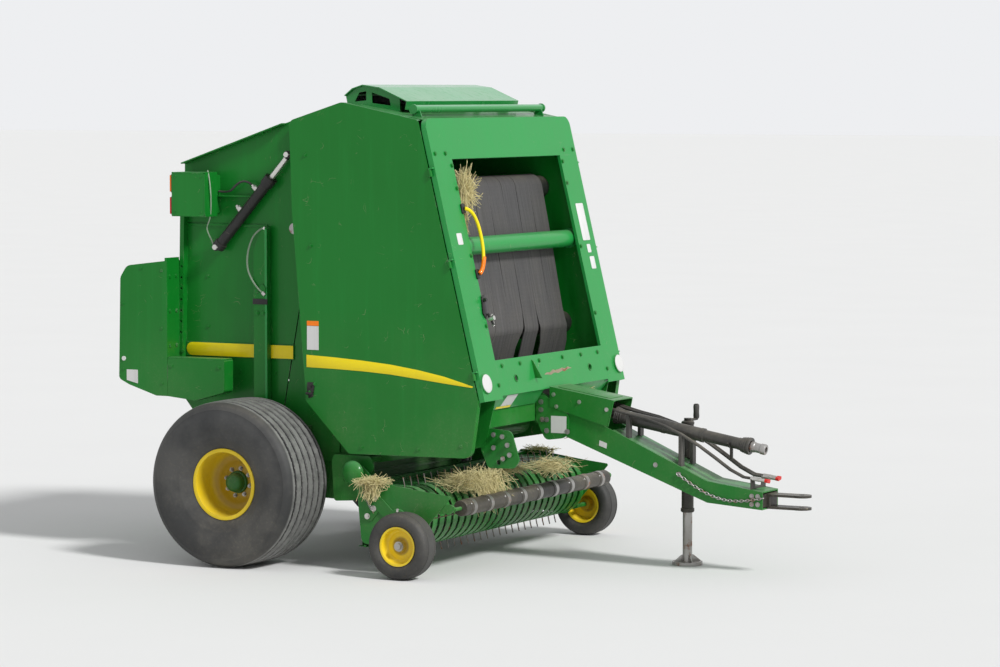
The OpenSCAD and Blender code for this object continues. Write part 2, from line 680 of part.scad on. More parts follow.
// Chains, rows of [sprockets, distance from the side sheet]
upper_chain = [[drive_shaft_at[0], drive_shaft_at[1], 60], [top_roller[0], top_roller[1], 80]];
lower_chain = [[drive_shaft_at[0], drive_shaft_at[1], 60], [starter_at[0], starter_at[1], 120], [low_roller[0], low_roller[1], 70]];
chain_rows = [[upper_chain, 54], [lower_chain, 32]];
module chain_drive() color(black) placed() {
    for (row = chain_rows) {
        y = sheet_out + row[1];
        translate([0, y + chain_w, 0]) rotate([90, 0, 0]) linear_extrude(height = chain_w) difference() {
            polygon(run(row[0], chain_h / 2));
            polygon(run(row[0], -chain_h / 2));
        }
        for (c = row[0]) bar_y(c[0], c[1], c[2] + 3, y + (chain_w - sprocket_t) / 2, y + (chain_w + sprocket_t) / 2);
    }
    for (p = [drive_shaft_at, low_roller, starter_at, top_roller]) bar_y(p[0], p[1], 24, sheet_out, sheet_out + 72);
}

gate_t = sheet_t;
lip_rear_x = -600;
lip_front_x = 150;
flange_top_z = gate_top_rear_z - 95;
lamp_rear = -585;
lamp_len = 250;
lamp_h = 280;
lamp_low_z = gate_top_rear_z - 335;
module gate_sides() color(green) both_sides() {
    difference() {
        union() {
            plate_xz(gate_outline, chamber_half, gate_t);
            bar_y(pivot_x, pivot_z, 42, chamber_half, sheet_out + 14);
        }
        bar_y(pivot_x, pivot_z, pivot_r + running, chamber_half - 1, sheet_out + 16);
    }
    // outward lip along the top, and the perforated flange at the rear edge
    plate_xz([[lip_rear_x, gate_edge_z(lip_rear_x) - 10], [lip_front_x, gate_edge_z(lip_front_x) - 10],
        [lip_front_x, gate_edge_z(lip_front_x) - 2], [lip_rear_x, gate_edge_z(lip_rear_x) - 2]], sheet_out, gate_flange + 14);
    difference() {
        plate_xz([[-gate_rear_x, gate_low_z], [-gate_rear_x + 30, gate_low_z], [gate_rear_at(flange_top_z) + 30, flange_top_z],
            [gate_rear_at(flange_top_z), flange_top_z]], sheet_out, gate_flange);
        for (z = [1420 : 70 : 1840]) bar_y(gate_rear_at(z) + 15, z, 8, sheet_out + 20, sheet_out + gate_flange + 1);
    }
    // mount of the lamp box, and the slotted bracket ahead of it
    translate([lamp_rear + 10, sheet_out, lamp_low_z + 20]) cube([lamp_len - 20, gate_flange, lamp_h - 40]);
    difference() {
        translate([lamp_rear + lamp_len - 15, sheet_out, lamp_low_z + 125]) cube([260, 44, 8]);
        for (x = [30, 145]) translate([lamp_rear + lamp_len + x, sheet_out + 14, lamp_low_z + 124]) cube([80, 16, 10]);
    }
    // raised rib with the stripe
    plate_xz([[-600, 1270], [200, 1270], [200, 1270 + rib_w], [-600, 1270 + rib_w]], sheet_out, 12);
    // lug for the lift cylinder
    bar_y(lift_top[0], lift_top[1], 30, sheet_out, lift_in - seat);
}

// Low edges of the cross members
cross_places = [gate_top_rear_z - 75, 1930, 1040];
cross_side = 50;
top_rear_x = -560;
module gate_cross_members() color(dark_green) placed() {
    for (z = cross_places)
        translate([gate_rear_at(z + cross_side) + 3, -chamber_half, z]) cube([cross_side, 2 * chamber_half, cross_side]);
    // top sheet of the gate
    plate_xz([[top_rear_x, gate_edge_z(top_rear_x) - 14], [lip_front_x, gate_edge_z(lip_front_x) - 14],
        [lip_front_x, gate_edge_z(lip_front_x) - 8], [top_rear_x, gate_edge_z(top_rear_x) - 8]], -chamber_half, 2 * chamber_half);
}

gate_roller_r = 50;
gate_roller_places = [[-500, gate_top_rear_z - 105], [-515, 1150], [-370, 865], [0, 745]];
module gate_rollers() color(black) placed() for (p = gate_roller_places)
    bar_y(p[0], p[1], gate_roller_r, -chamber_half, chamber_half);

gate_belt_turns = [[90, 181], [181, 207], [207, 252], [252, 300]];
gate_belt_path = [for (i = [0 : 3])
    each wrap(gate_roller_places[i][0], gate_roller_places[i][1], gate_roller_r,
        gate_belt_turns[i][0], gate_belt_turns[i][1], 4)];
module gate_belts() color(belt_grey) placed() for (i = [0 : belt_count - 1]) {
    y = (i - (belt_count - 1) / 2) * belt_pitch;
    translate([0, y + belt_w / 2, 0]) rotate([90, 0, 0]) linear_extrude(height = belt_w)
        polygon(strip(reversed(gate_belt_path), belt_t));
}

tension_low = [-330, face_top_z - 820];
tension_high = [200, face_top_z - 230];
tension_y = sheet_out + 50;
module tension_cylinders() color(black) both_sides() {
    bar_xz(tension_low, tension_low + (tension_high - tension_low) * 0.72, 34, tension_y);
    bar_xz(tension_low, tension_high, 16, tension_y);
    for (p = [tension_low, tension_high]) bar_y(p[0], p[1], 24, sheet_out, tension_y + 30);
}

module lamp_boxes() color(green) both_sides() {
    translate([lamp_rear, sheet_out + gate_flange, lamp_low_z])
        cube([lamp_len, outer_half - sheet_out - gate_flange, lamp_h]);
}
module lamp_lens(z, h) {
    translate([lamp_rear - 22, sheet_out + gate_flange + 12, z]) cube([22, outer_half - sheet_out - gate_flange - 24, h]);
}
lens_h = lamp_h * 3 / 8;
module amber_lenses() color([0.95, 0.45, 0.05]) both_sides() lamp_lens(lamp_low_z + 155, lens_h);
module red_lenses() color([0.7, 0.04, 0.03]) both_sides() lamp_lens(lamp_low_z + 15, lens_h);

net_rows = [[-net_rear_x, 1120, 30], [-920, 1085, 30], [-710, 1020, 20], [-gate_rear_x - 2, 1020, 0],
    [-gate_rear_x - 2, 1880, 0], [-930, 1846, 60], [-980, 1770, 60]];
module net_box() color(green) placed() {
    difference() {
        plate_sym(rounded(net_rows), outer_half);
        plate_sym(rounded(inset_rows(net_rows, [box_t, box_t, box_t, box_t, box_t, box_t, box_t])), outer_half - box_t);
        // opening that the lid closes
        translate([-net_rear_x - 10, -outer_half + 30, 1150]) cube([80, 2 * outer_half - 60, 614]);
    }
    // lugs and pins of the lid's hinge
    for (y = [-600, 600]) {
        bar_y(lid_hinge[0], lid_hinge[1], 5, y - 34, y + 34);
        for (e = [y - 42, y + 32]) translate([lid_hinge[0] - 4, e, lid_hinge[1] - 6]) cube([12, 10, 36]);
    }
    for (s = [0, 1]) mirror([0, s, 0])
        plate_xz([[-gate_rear_x - 2, 1020], [-gate_rear_x + 14, 1020], [-gate_rear_x + 14, 1900], [-gate_rear_x - 2, 1900]],
            sheet_out + gate_flange, outer_half - sheet_out - gate_flange);
}

lid_hinge = [net_wall_x(1752) - 4, 1752];
lid_low_z = 1156;
lid_high_z = 1744;
function net_wall_x(z) = -net_rear_x + (z - 1120) * 14 / 650;
module net_lid() color(green) placed() {
    plate_sym([[net_wall_x(lid_low_z), lid_low_z], [net_wall_x(lid_high_z), lid_high_z],
        [net_wall_x(lid_high_z) + box_t, lid_high_z], [net_wall_x(lid_low_z) + box_t, lid_low_z]], outer_half - 36);
    for (y = [-600, 600]) difference() {
        bar_y(lid_hinge[0], lid_hinge[1], 9, y - 30, y + 30);
        bar_y(lid_hinge[0], lid_hinge[1], 5 + running, y - 31, y + 31);
    }
}

module lower_side_shields() color(green) both_sides() {
    plate_xz(rounded([[-624, 1020, 4], [-420, 1000, 20], [-200, 1060, 20], [-200, 1262, 10], [-624, 1262, 4]]),
        sheet_out + 90, outer_half - sheet_out - 90);
    for (x = [-560, -300]) bar_y(x, 1180, 16, sheet_out, sheet_out + 90);
}

// Side shield outline, rows of [x, z, corner radius], anticlockwise from the lower front
shield_front = hinge_back + 11;
function shield_x(z) = face_x(z) - shield_front / cos(rake);
shield_rows = [
    [1565, 726, 60], [shield_x(1074), 1074, 20], [shield_x(face_top_z - 10), face_top_z - 10, 30],
    [660, face_top_z + 98, 60], [285, face_top_z - 18, 40], [303, 2225, 0], [392, 1160, 10], [399, 1033, 20], [708, 716, 30]
];
shield_inset = [4, -30, 4, 4, 4, 4, 4, 4, 4];
module shield() {
    difference() {
        plate_xz(rounded(shield_rows), outer_half - shield_fold, shield_fold);
        plate_xz(rounded(inset_rows(shield_rows, shield_inset)), outer_half - shield_fold - 1, shield_fold + 1 - shield_t);
    }
    on_face() for (z = hinge_places) translate([-hinge_back, hinge_y, z - hinge_len - 1]) difference() {
        union() {
            cylinder(h = hinge_len, r = 11);
            translate([-30, outer_half - shield_t - hinge_y, 0]) cube([30, 8, hinge_len]);
        }
        translate([0, 0, -1]) cylinder(h = hinge_len + 2, r = hinge_r + running);
    }
}
module shield_left() color(green) left_only() shield();
module shield_right() color(green) right_only() shield();

// Tyre half profile, rows of [half width, radius]
tyre_half = [[174, rim_r], [177, rim_r + 22], [204, rim_r + 45], [248, 330], [tyre_w / 2, 400], [254, 450], [232, 490], [205, tyre_r - 4]];
groove_y = [160, 60];
module main_tyre() {
    right_side = [for (p = tyre_half) [p[1], p[0]]];
    left_side = [for (p = reversed(tyre_half)) [p[1], -p[0]]];
    tread = [for (g = [-1, 1]) for (k = [0, 1])
        let (y = -g * (g < 0 ? groove_y[k] : groove_y[1 - k]))
        each [[tyre_r, y + 14], [tyre_r - 14, y], [tyre_r, y - 14]]];
    translate([0, wheel_y, tyre_r]) rotate([-90, 0, 0]) rotate_extrude()
        polygon(concat(right_side, tread, left_side));
}
module tyre_left() color(rubber) left_only() main_tyre();
module tyre_right() color(rubber) right_only() main_tyre();

rim_half = 190;
module main_rim() {
    translate([0, wheel_y, tyre_r]) rotate([-90, 0, 0]) {
        difference() {
            union() {
                translate([0, 0, -rim_half]) cylinder(h = 2 * rim_half, r = rim_r);
                for (z = [-rim_half, rim_half - 11]) translate([0, 0, z]) cylinder(h = 11, r = rim_r + 18);
            }
            translate([0, 0, -rim_half - 1]) cylinder(h = rim_half - 9, r = rim_r - 10);
            translate([0, 0, 2]) cylinder(h = rim_half, r = rim_r - 10);
            translate([0, 0, -20]) cylinder(h = 30, r = 70 - seat);
        }
    }
}
module wheel_left() color(yellow) left_only() main_rim();
module wheel_right() color(yellow) right_only() main_rim();

module main_hub() {
    translate([0, wheel_y, tyre_r]) rotate([-90, 0, 0]) difference() {
        union() {
            translate([0, 0, -120]) cylinder(h = 150, r = 70 - seat);
            translate([0, 0, -32]) cylinder(h = 12, r = 110);
            translate([0, 0, 30]) cylinder(h = 60, r = 58);
        }
        translate([0, 0, -121]) cylinder(h = 181, r = spindle_r + running);
    }
}
module hub_left() color(dark_green) left_only() main_hub();
module hub_right() color(dark_green) right_only() main_hub();

reel_stub_r = 20;
lift_arm = rounded([[pickup_x - 40, pickup_z - 40, 30], [810, 500, 20], [862, 500, 20], [862, 560, 20],
    [pickup_x + 40, pickup_z + 40, 36], [pickup_x - 40, pickup_z + 40, 36]]);
gauge_arm = rounded([[gauge_x - 300, 420, 20], [gauge_x - 30, gauge_r - 25, 25], [gauge_x + 30, gauge_r - 5, 25],
    [gauge_x, gauge_r + 40, 25], [gauge_x - 240, 470, 20]]);
compressor_arm = rounded([[1322, 380, 10], [1480, 395, 15], [1520, 430, 15], [1480, 450, 15], [1322, 440, 10]]);
pickup_plate = rounded([[815, 570, 20], [830, 490, 20], [860, 180, 40], [1180, 150, 60], [1305, 290, 20], [1490, 500, 10], [1300, 520, 30], [1000, 560, 60]]);
lift_arm_y = outer_half - 50;
compressor_at = [1500, 420];
compressor_r = 52;
compressor_half = pickup_half - 90;
compressor_pin = 12;
module pickup_frame() color(green) placed() {
    for (s = [0, 1]) mirror([0, s, 0]) {
        difference() {
            plate_xz(pickup_plate, pickup_half, plate_t);
            bar_y(reel_x, reel_z, reel_stub_r + running, pickup_half - 1, pickup_half + plate_t + 1);
        }
        // lift arm from the pickup hinge
        difference() {
            plate_xz(lift_arm, lift_arm_y, 10);
            bar_y(pickup_x, pickup_z, pickup_pin_r + running, lift_arm_y - 5, lift_arm_y + 15);
        }
        // arm and spindle of the gauge wheel
        plate_xz(gauge_arm, pickup_half + plate_t, arm_t);
        bar_y(gauge_x, gauge_r, 15, pickup_half + plate_t + arm_t, gauge_y + gauge_w / 2 - 20);
        // arm of the compressor roller
        plate_xz(compressor_arm, pickup_half - 12, 12);
        bar_y(compressor_at[0], compressor_at[1], compressor_pin, compressor_half - 28, pickup_half - 12);
    }
    translate([822, -pickup_half, reel_z + 160]) cube([49, 2 * pickup_half, 50]);
}

band_places = [for (i = [0 : tine_count]) (i - tine_count / 2) * tine_pitch];
band_path = concat([[871.3, reel_z + band_r]], arc(reel_x, reel_z, band_r, 90, -90, 12), [[871.3, reel_z - band_r]]);
module stripper_bands() color(green) placed() {
    for (y = band_places) translate([0, y - band_w / 2, 0])
        plate_xz(strip(reversed(band_path), band_t), 0, band_w);
    // rails that join the bands behind the reel
    for (z = [reel_z + band_r - 14, reel_z - band_r]) translate([871.3, -pickup_half, z])
        cube([16, 2 * pickup_half, 14]);
}

reel_half = pickup_half - 14;
module tine_reel() color(steel) placed() translate([reel_x, 0, reel_z]) {
    bar_y(0, 0, 30, -reel_half, reel_half);
    bar_y(0, 0, reel_stub_r, -pickup_half - plate_t + seat, pickup_half + plate_t - seat);
    for (y = [-reel_half, -10, reel_half - 8]) bar_y(0, 0, bar_circle_r + 20, y, y + 8);
    for (k = [0 : bar_count - 1]) rotate([0, k * 360 / bar_count, 0]) {
        bar_y(0, bar_circle_r, bar_r, -reel_half, reel_half);
        for (i = [0 : tine_count - 1]) {
            y = (i - (tine_count - 1) / 2) * tine_pitch;
            translate([-tine_t / 2, y - tine_t / 2, bar_circle_r]) cube([tine_t, tine_t, tine_tip_r - bar_circle_r]);
        }
    }
}

module compressor_roller() color(black) placed() difference() {
    bar_y(compressor_at[0], compressor_at[1], compressor_r, -compressor_half, compressor_half);
    for (s = [0, 1]) mirror([0, s, 0])
        bar_y(compressor_at[0], compressor_at[1], compressor_pin + running, compressor_half - 30, compressor_half + 1);
}

module gauge_tyre() {
    translate([gauge_x, gauge_y, gauge_r]) rotate([-90, 0, 0]) rotate_extrude()
        polygon([[115, -58], [124, -59], [140, -gauge_w / 2 + 6], [175, -gauge_w / 2], [195, -gauge_w / 2 + 16], [gauge_r, -50],
            [gauge_r, 50], [195, gauge_w / 2 - 16], [175, gauge_w / 2], [140, gauge_w / 2 - 6], [124, 59], [115, 58]]);
}
module gauge_tyre_left() color(rubber) left_only() gauge_tyre();
module gauge_tyre_right() color(rubber) right_only() gauge_tyre();

module gauge_rim() {
    translate([gauge_x, gauge_y, gauge_r]) rotate([-90, 0, 0]) difference() {
        union() {
            translate([0, 0, -60]) cylinder(h = 120, r = 115);
            translate([0, 0, -66]) cylinder(h = 6, r = 122);
            translate([0, 0, 60]) cylinder(h = 6, r = 122);
        }
        translate([0, 0, 8]) cylinder(h = 60, r = 108);
        translate([0, 0, -67]) cylinder(h = 60, r = 108);
        translate([0, 0, -20]) cylinder(h = 40, r = 15 + running);
    }
}
module gauge_rim_left() color(yellow) left_only() gauge_rim();
module gauge_rim_right() color(yellow) right_only() gauge_rim();

lift_axis = unit(lift_top - lift_base);
lift_len = norm(lift_top - lift_base);
module lift_barrel() {
    difference() {
        union() {
            bar_xz(lift_base + lift_axis * 52, lift_base + lift_axis * 780, 34, lift_in + lift_eye_t / 2);
            bar_xz(lift_base, lift_base + lift_axis * 60, 17, lift_in + lift_eye_t / 2);
            bar_y(lift_base[0], lift_base[1], 40, lift_in, lift_in + lift_eye_t);
        }
        bar_xz(lift_base + lift_axis * 70, lift_base + lift_axis * 781, lift_rod_r + running, lift_in + lift_eye_t / 2);
    }
}
module lift_barrel_left() color(black) left_only() lift_barrel();
module lift_barrel_right() color(black) right_only() lift_barrel();

module lift_rod() {
    bar_xz(lift_base + lift_axis * 80, lift_top - lift_axis * 20, lift_rod_r, lift_in + lift_eye_t / 2);
    bar_y(lift_top[0], lift_top[1], 34, lift_in, lift_in + lift_eye_t);
}
module lift_rod_left() color(steel) left_only() lift_rod();
module lift_rod_right() color(steel) right_only() lift_rod();

side_sheets();
gate_posts();
front_columns();
front_header();
lower_cross_panel();
cross_tube();
front_belts();
front_rollers();
roof_deck();
roof_lid();
axle_beam();
lower_side_plates();
dome_caps();
front_brackets();
tongue();
hitch();
gearbox();
gearbox_hood();
drive_shaft();
jack_tube();
jack_leg();
hoses();
chain_drive();
gate_sides();
gate_cross_members();
gate_belts();
gate_rollers();
tension_cylinders();
lamp_boxes();
amber_lenses();
red_lenses();
net_box();
net_lid();
lower_side_shields();
shield_left();
shield_right();
tyre_left();
tyre_right();
wheel_left();
wheel_right();
hub_left();
hub_right();
pickup_frame();
stripper_bands();
tine_reel();
compressor_roller();
gauge_tyre_left();
gauge_tyre_right();
gauge_rim_left();
gauge_rim_right();
lift_barrel_left();
lift_barrel_right();
lift_rod_left();
lift_rod_right();
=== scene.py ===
"""Looks of a towed round baler, built around its packed construction."""

import logging
import random
from collections.abc import Iterator
from contextlib import contextmanager
from dataclasses import dataclass
from enum import Enum
from math import acos, atan2, cos, dist, pi, radians, sin, tan, tau

import bpy
from mathutils import Matrix, Vector


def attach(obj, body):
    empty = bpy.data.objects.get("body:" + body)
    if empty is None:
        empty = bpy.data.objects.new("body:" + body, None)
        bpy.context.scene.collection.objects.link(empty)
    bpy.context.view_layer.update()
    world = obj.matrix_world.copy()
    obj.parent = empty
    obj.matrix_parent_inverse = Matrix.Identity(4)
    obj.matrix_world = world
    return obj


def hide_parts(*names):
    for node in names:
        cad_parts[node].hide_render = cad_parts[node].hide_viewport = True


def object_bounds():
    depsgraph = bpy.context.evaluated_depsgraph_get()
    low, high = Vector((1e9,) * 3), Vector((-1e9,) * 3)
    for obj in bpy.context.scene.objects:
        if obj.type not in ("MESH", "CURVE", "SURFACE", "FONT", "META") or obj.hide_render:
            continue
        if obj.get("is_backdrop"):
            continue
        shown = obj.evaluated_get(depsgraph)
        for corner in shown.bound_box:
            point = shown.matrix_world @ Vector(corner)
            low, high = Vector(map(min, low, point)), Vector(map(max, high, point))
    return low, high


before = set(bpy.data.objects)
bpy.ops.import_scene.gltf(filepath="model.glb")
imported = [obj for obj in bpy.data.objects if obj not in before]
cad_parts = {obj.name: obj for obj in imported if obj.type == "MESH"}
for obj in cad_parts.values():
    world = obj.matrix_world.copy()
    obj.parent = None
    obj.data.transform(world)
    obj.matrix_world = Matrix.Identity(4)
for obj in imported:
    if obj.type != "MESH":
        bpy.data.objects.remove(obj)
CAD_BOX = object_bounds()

logging.basicConfig(level=logging.INFO, format="%(name)s: %(message)s")
log = logging.getLogger("baler")

Point = tuple[float, float, float]
Flat = tuple[float, float]
Colour = tuple[float, float, float]
Thing = bpy.types.Object
Tree = bpy.types.NodeTree
Material = bpy.types.Material
Socket = bpy.types.NodeSocket
AXLE_X = -1.198
AXLE_Z = 0.520
GAUGE_X = 1.240
GAUGE_Z = 0.205


class Side(Enum):
    """A side of the machine, as the sign of its Y."""

    LEFT = 1
    RIGHT = -1


BOTH = (Side.LEFT, Side.RIGHT)


# Shader node trees


class Graph:
    """A shader node tree with short ways to add and join its nodes."""

    def __init__(self, tree: Tree) -> None:
        """Takes a node tree."""
        self.tree = tree

    def node(self, kind: str, fill: dict | None = None, **settings) -> bpy.types.Node:
        """Adds a node.

        Args:
            kind: Its type, without the leading ShaderNode.
            fill: A number, vector or socket for each input, by name or number.
            settings: Its properties.

        Returns:
            The node.
        """
        made = self.tree.nodes.new("ShaderNode" + kind)
        for key, value in settings.items():
            setattr(made, key, value)
        for key, value in (fill or {}).items():
            if isinstance(value, (int, float, tuple)):
                made.inputs[key].default_value = value
            else:
                self.tree.links.new(value, made.inputs[key])
        return made

    def texture(
        self, kind: str, fill: dict | None = None, scale: Point = (1, 1, 1), turn: Point = (0, 0, 0), **settings
    ) -> bpy.types.Node:
        """Adds a texture node on object coordinates.

        Args:
            kind: Its type, without the leading ShaderNode.
            fill: Values of its inputs.
            scale: Factors on the coordinates.
            turn: Rotation of the coordinates, in radians.
            settings: Its properties.

        Returns:
            The texture node.
        """
        coords = self.node("TexCoord").outputs["Object"]
        mapping = self.node("Mapping", {"Vector": coords, "Scale": scale, "Rotation": turn})
        return self.node(kind, {"Vector": mapping.outputs[0], **(fill or {})}, **settings)

    def maths(self, operation: str, first, second=None, clamp: bool = False) -> Socket:
        """Adds a Math node on sockets or numbers and returns its result, kept within 0 and 1 if clamped."""
        fill = {0: first} if second is None else {0: first, 1: second}
        return self.node("Math", fill, operation=operation, use_clamp=clamp).outputs[0]

    def times(self, first, second, clamp: bool = False) -> Socket:
        """Multiplies sockets or numbers."""
        return self.maths("MULTIPLY", first, second, clamp)

    def plus(self, first, second, clamp: bool = False) -> Socket:
        """Adds sockets or numbers."""
        return self.maths("ADD", first, second, clamp)


class Effect(Graph):
    """A node group with number sockets, built once and placed in each material."""

    def __init__(self, name: str, inputs: dict[str, float], outputs: tuple[str, ...] = ("Mask",)) -> None:
        """Makes the empty group.

        Args:
            name: The group's name.
            inputs: Names and default values of its inputs.
            outputs: Names of its outputs.
        """
        super().__init__(bpy.data.node_groups.new(name, "ShaderNodeTree"))
        for key, value in inputs.items():
            socket = self.tree.interface.new_socket(key, in_out="INPUT", socket_type="NodeSocketFloat")
            socket.default_value = value
        for key in outputs:
            self.tree.interface.new_socket(key, in_out="OUTPUT", socket_type="NodeSocketFloat")
        self.given = self.tree.nodes.new("NodeGroupInput").outputs
        self.outlet = self.tree.nodes.new("NodeGroupOutput").inputs

    def noise(self, scale, detail: float = 3.0, rough: float = 0.55, stretch: Point = (1, 1, 1)) -> Socket:
        """Noise of a scale, with its octaves, their strength and factors on the coordinates."""
        return self.texture("TexNoise", {"Scale": scale, "Detail": detail, "Roughness": rough}, stretch).outputs["Fac"]

    def step(self, value: Socket, low: float, high: float) -> Socket:
        """Maps low..high to 0..1, smoothly."""
        fill = {"Value": value, "From Min": low, "From Max": high}
        return self.node("MapRange", fill, interpolation_type="SMOOTHSTEP").outputs["Result"]

    def part(self, kind: str, name: str) -> Socket:
        """One coordinate of the place or of the normal."""
        kind, output = ("NewGeometry", "Normal") if kind == "normal" else ("TexCoord", "Object")
        return self.node("SeparateXYZ", {0: self.node(kind).outputs[output]}).outputs[name]

    def give(self, name: str, value: Socket) -> None:
        """Sends a socket to one of the group's outputs."""
        self.tree.links.new(value, self.outlet[name])

    def mask(self, value: Socket) -> Tree:
        """Sends a mask, scaled by the group's Amount, to its output and returns the group."""
        self.give("Mask", self.times(value, self.given["Amount"], True))
        return self.tree


def edge_wear_effect() -> Tree:
    """Paint rubbed off along outer edges, broken up by noise.

    Returns:
        The group.
    """
    made = Effect("edge_wear", {"Amount": 0.5, "Radius": 0.004})
    bevel = made.node("Bevel", {"Radius": made.given["Radius"]}, samples=4).outputs[0]
    normal = made.node("NewGeometry").outputs["Normal"]
    dot = made.node("VectorMath", {0: bevel, 1: normal}, operation="DOT_PRODUCT").outputs["Value"]
    return made.mask(made.times(made.step(dot, 0.985, 0.80), made.step(made.noise(9, 5, 0.7), 0.50, 0.62)))


def field_dust_effect() -> Tree:
    """Pale dust: on upward faces, towards the ground, and in clouds.

    Returns:
        The group.
    """
    made = Effect("field_dust", {"Amount": 0.5, "Low": 0.3, "High": 1.6}, ("Mask", "Clouds"))
    up = made.step(made.part("normal", "Z"), 0.2, 1.0)
    fill = {"Value": made.part("place", "Z"), "From Min": made.given["Low"], "From Max": made.given["High"]}
    height = made.node("MapRange", {**fill, "To Min": 1, "To Max": 0}).outputs[0]
    clouds = made.step(made.noise(2.3, 6, 0.62), 0.38, 0.68)
    specks = made.step(made.noise(60, 2, 0.6), 0.5, 0.75)
    reach = made.plus(made.times(up, 0.8), made.times(height, 0.75))
    spread = made.times(reach, made.plus(made.times(clouds, 0.8), 0.2))
    made.give("Clouds", clouds)
    return made.mask(made.times(spread, made.plus(made.times(specks, 0.5), 0.6)))


def weather_streaks_effect() -> Tree:
    """Faint runs of rain and dirt down a panel, and the slow fading between them.

    Returns:
        The group.
    """
    made = Effect("weather_streaks", {"Amount": 0.5})
    runs = made.step(made.noise(1, 5, 0.6, (26, 26, 1.3)), 0.48, 0.72)
    broad = made.step(made.noise(1.1, 3, 0.5), 0.35, 0.7)
    return made.mask(made.plus(made.times(runs, 0.6), made.times(broad, 0.5)))


def chaff_scratch_effect() -> Tree:
    """Short fine scratches and bits of chaff that stick to a panel.

    Returns:
        The group.
    """
    made = Effect("chaff_scratches", {"Amount": 0.5, "Scale": 7.0})
    warp = made.texture("TexNoise", {"Scale": 3.0}).outputs["Color"]
    coords = made.node("TexCoord").outputs["Object"]
    bent = made.node("VectorMath", {0: coords, 1: warp}, operation="ADD").outputs[0]
    fill = {"Scale": made.given["Scale"], "Vector": bent}
    cells = made.node("TexVoronoi", fill, feature="DISTANCE_TO_EDGE").outputs["Distance"]
    return made.mask(made.times(made.step(cells, 0.006, 0.001), made.step(made.noise(11, 2, 0.5), 0.62, 0.68)))


def rust_effect() -> Tree:
    """Patches of rust with a grainy edge.

    Returns:
        The group.
    """
    made = Effect("rust_bloom", {"Amount": 0.5, "Scale": 6.0})
    both = made.plus(made.noise(made.given["Scale"], 8, 0.68), made.times(made.noise(140, 3, 0.7), 0.12))
    limit = made.maths("SUBTRACT", 0.86, made.times(made.given["Amount"], 0.5))
    made.give("Mask", made.times(made.maths("SUBTRACT", both, limit), 9.0, True))
    return made.tree


def sky_reflection_effect() -> Tree:
    """Painted reflection of the sky: faces that look up are paled, in soft clouds.

    Returns:
        The group.
    """
    made = Effect("painted_sky_reflection", {"Amount": 0.5})
    clouds = made.step(made.noise(1.7, 4, 0.6), 0.25, 0.75)
    up = made.step(made.part("normal", "Z"), 0.12, 0.97)
    return made.mask(made.times(up, made.plus(made.times(clouds, 0.35), 0.65)))


def wheel_ring_effect() -> Tree:
    """Masks by the distance from a wheel's axle: within the inner radius, and beyond the outer one.

    Returns:
        The group.
    """
    inputs = {"X": 0.0, "Z": 0.5, "Inner": 0.2, "Outer": 0.5, "Fade": 0.004}
    made = Effect("wheel_ring", inputs, ("Inside", "Crown"))
    along, up = (made.maths("SUBTRACT", made.part("place", key), made.given[key]) for key in "XZ")
    reach = made.maths("SQRT", made.plus(made.times(along, along), made.times(up, up)))
    fade = made.given["Fade"]
    crown = made.maths("DIVIDE", made.maths("SUBTRACT", reach, made.given["Outer"]), fade, True)
    crown_dust_and_highlight = made.plus(made.times(made.step(made.noise(14, 6, 0.7), 0.30, 0.62), 0.5), 0.5)
    made.give("Inside", made.maths("DIVIDE", made.maths("SUBTRACT", made.given["Inner"], reach), fade, True))
    made.give("Crown", made.times(crown, crown_dust_and_highlight))
    return made.tree


def surface_grain_effect() -> Tree:
    """Height of a fine grain over a slow waviness, for paint, rubber and cast metal.

    Returns:
        The group.
    """
    made = Effect("surface_grain", {"Fine": 300.0, "Wave": 4.0, "Mix": 0.4}, ("Height",))
    fine, wave = (made.noise(made.given[key], 2, 0.5) for key in ("Fine", "Wave"))
    made.give("Height", made.plus(fine, made.times(wave, made.given["Mix"])))
    return made.tree


EFFECTS = {
    "wear": edge_wear_effect(),
    "dust": field_dust_effect(),
    "streaks": weather_streaks_effect(),
    "chaff": chaff_scratch_effect(),
    "rust": rust_effect(),
    "sky_reflection": sky_reflection_effect(),
    "ring": wheel_ring_effect(),
    "grain": surface_grain_effect(),
}


# Finishes


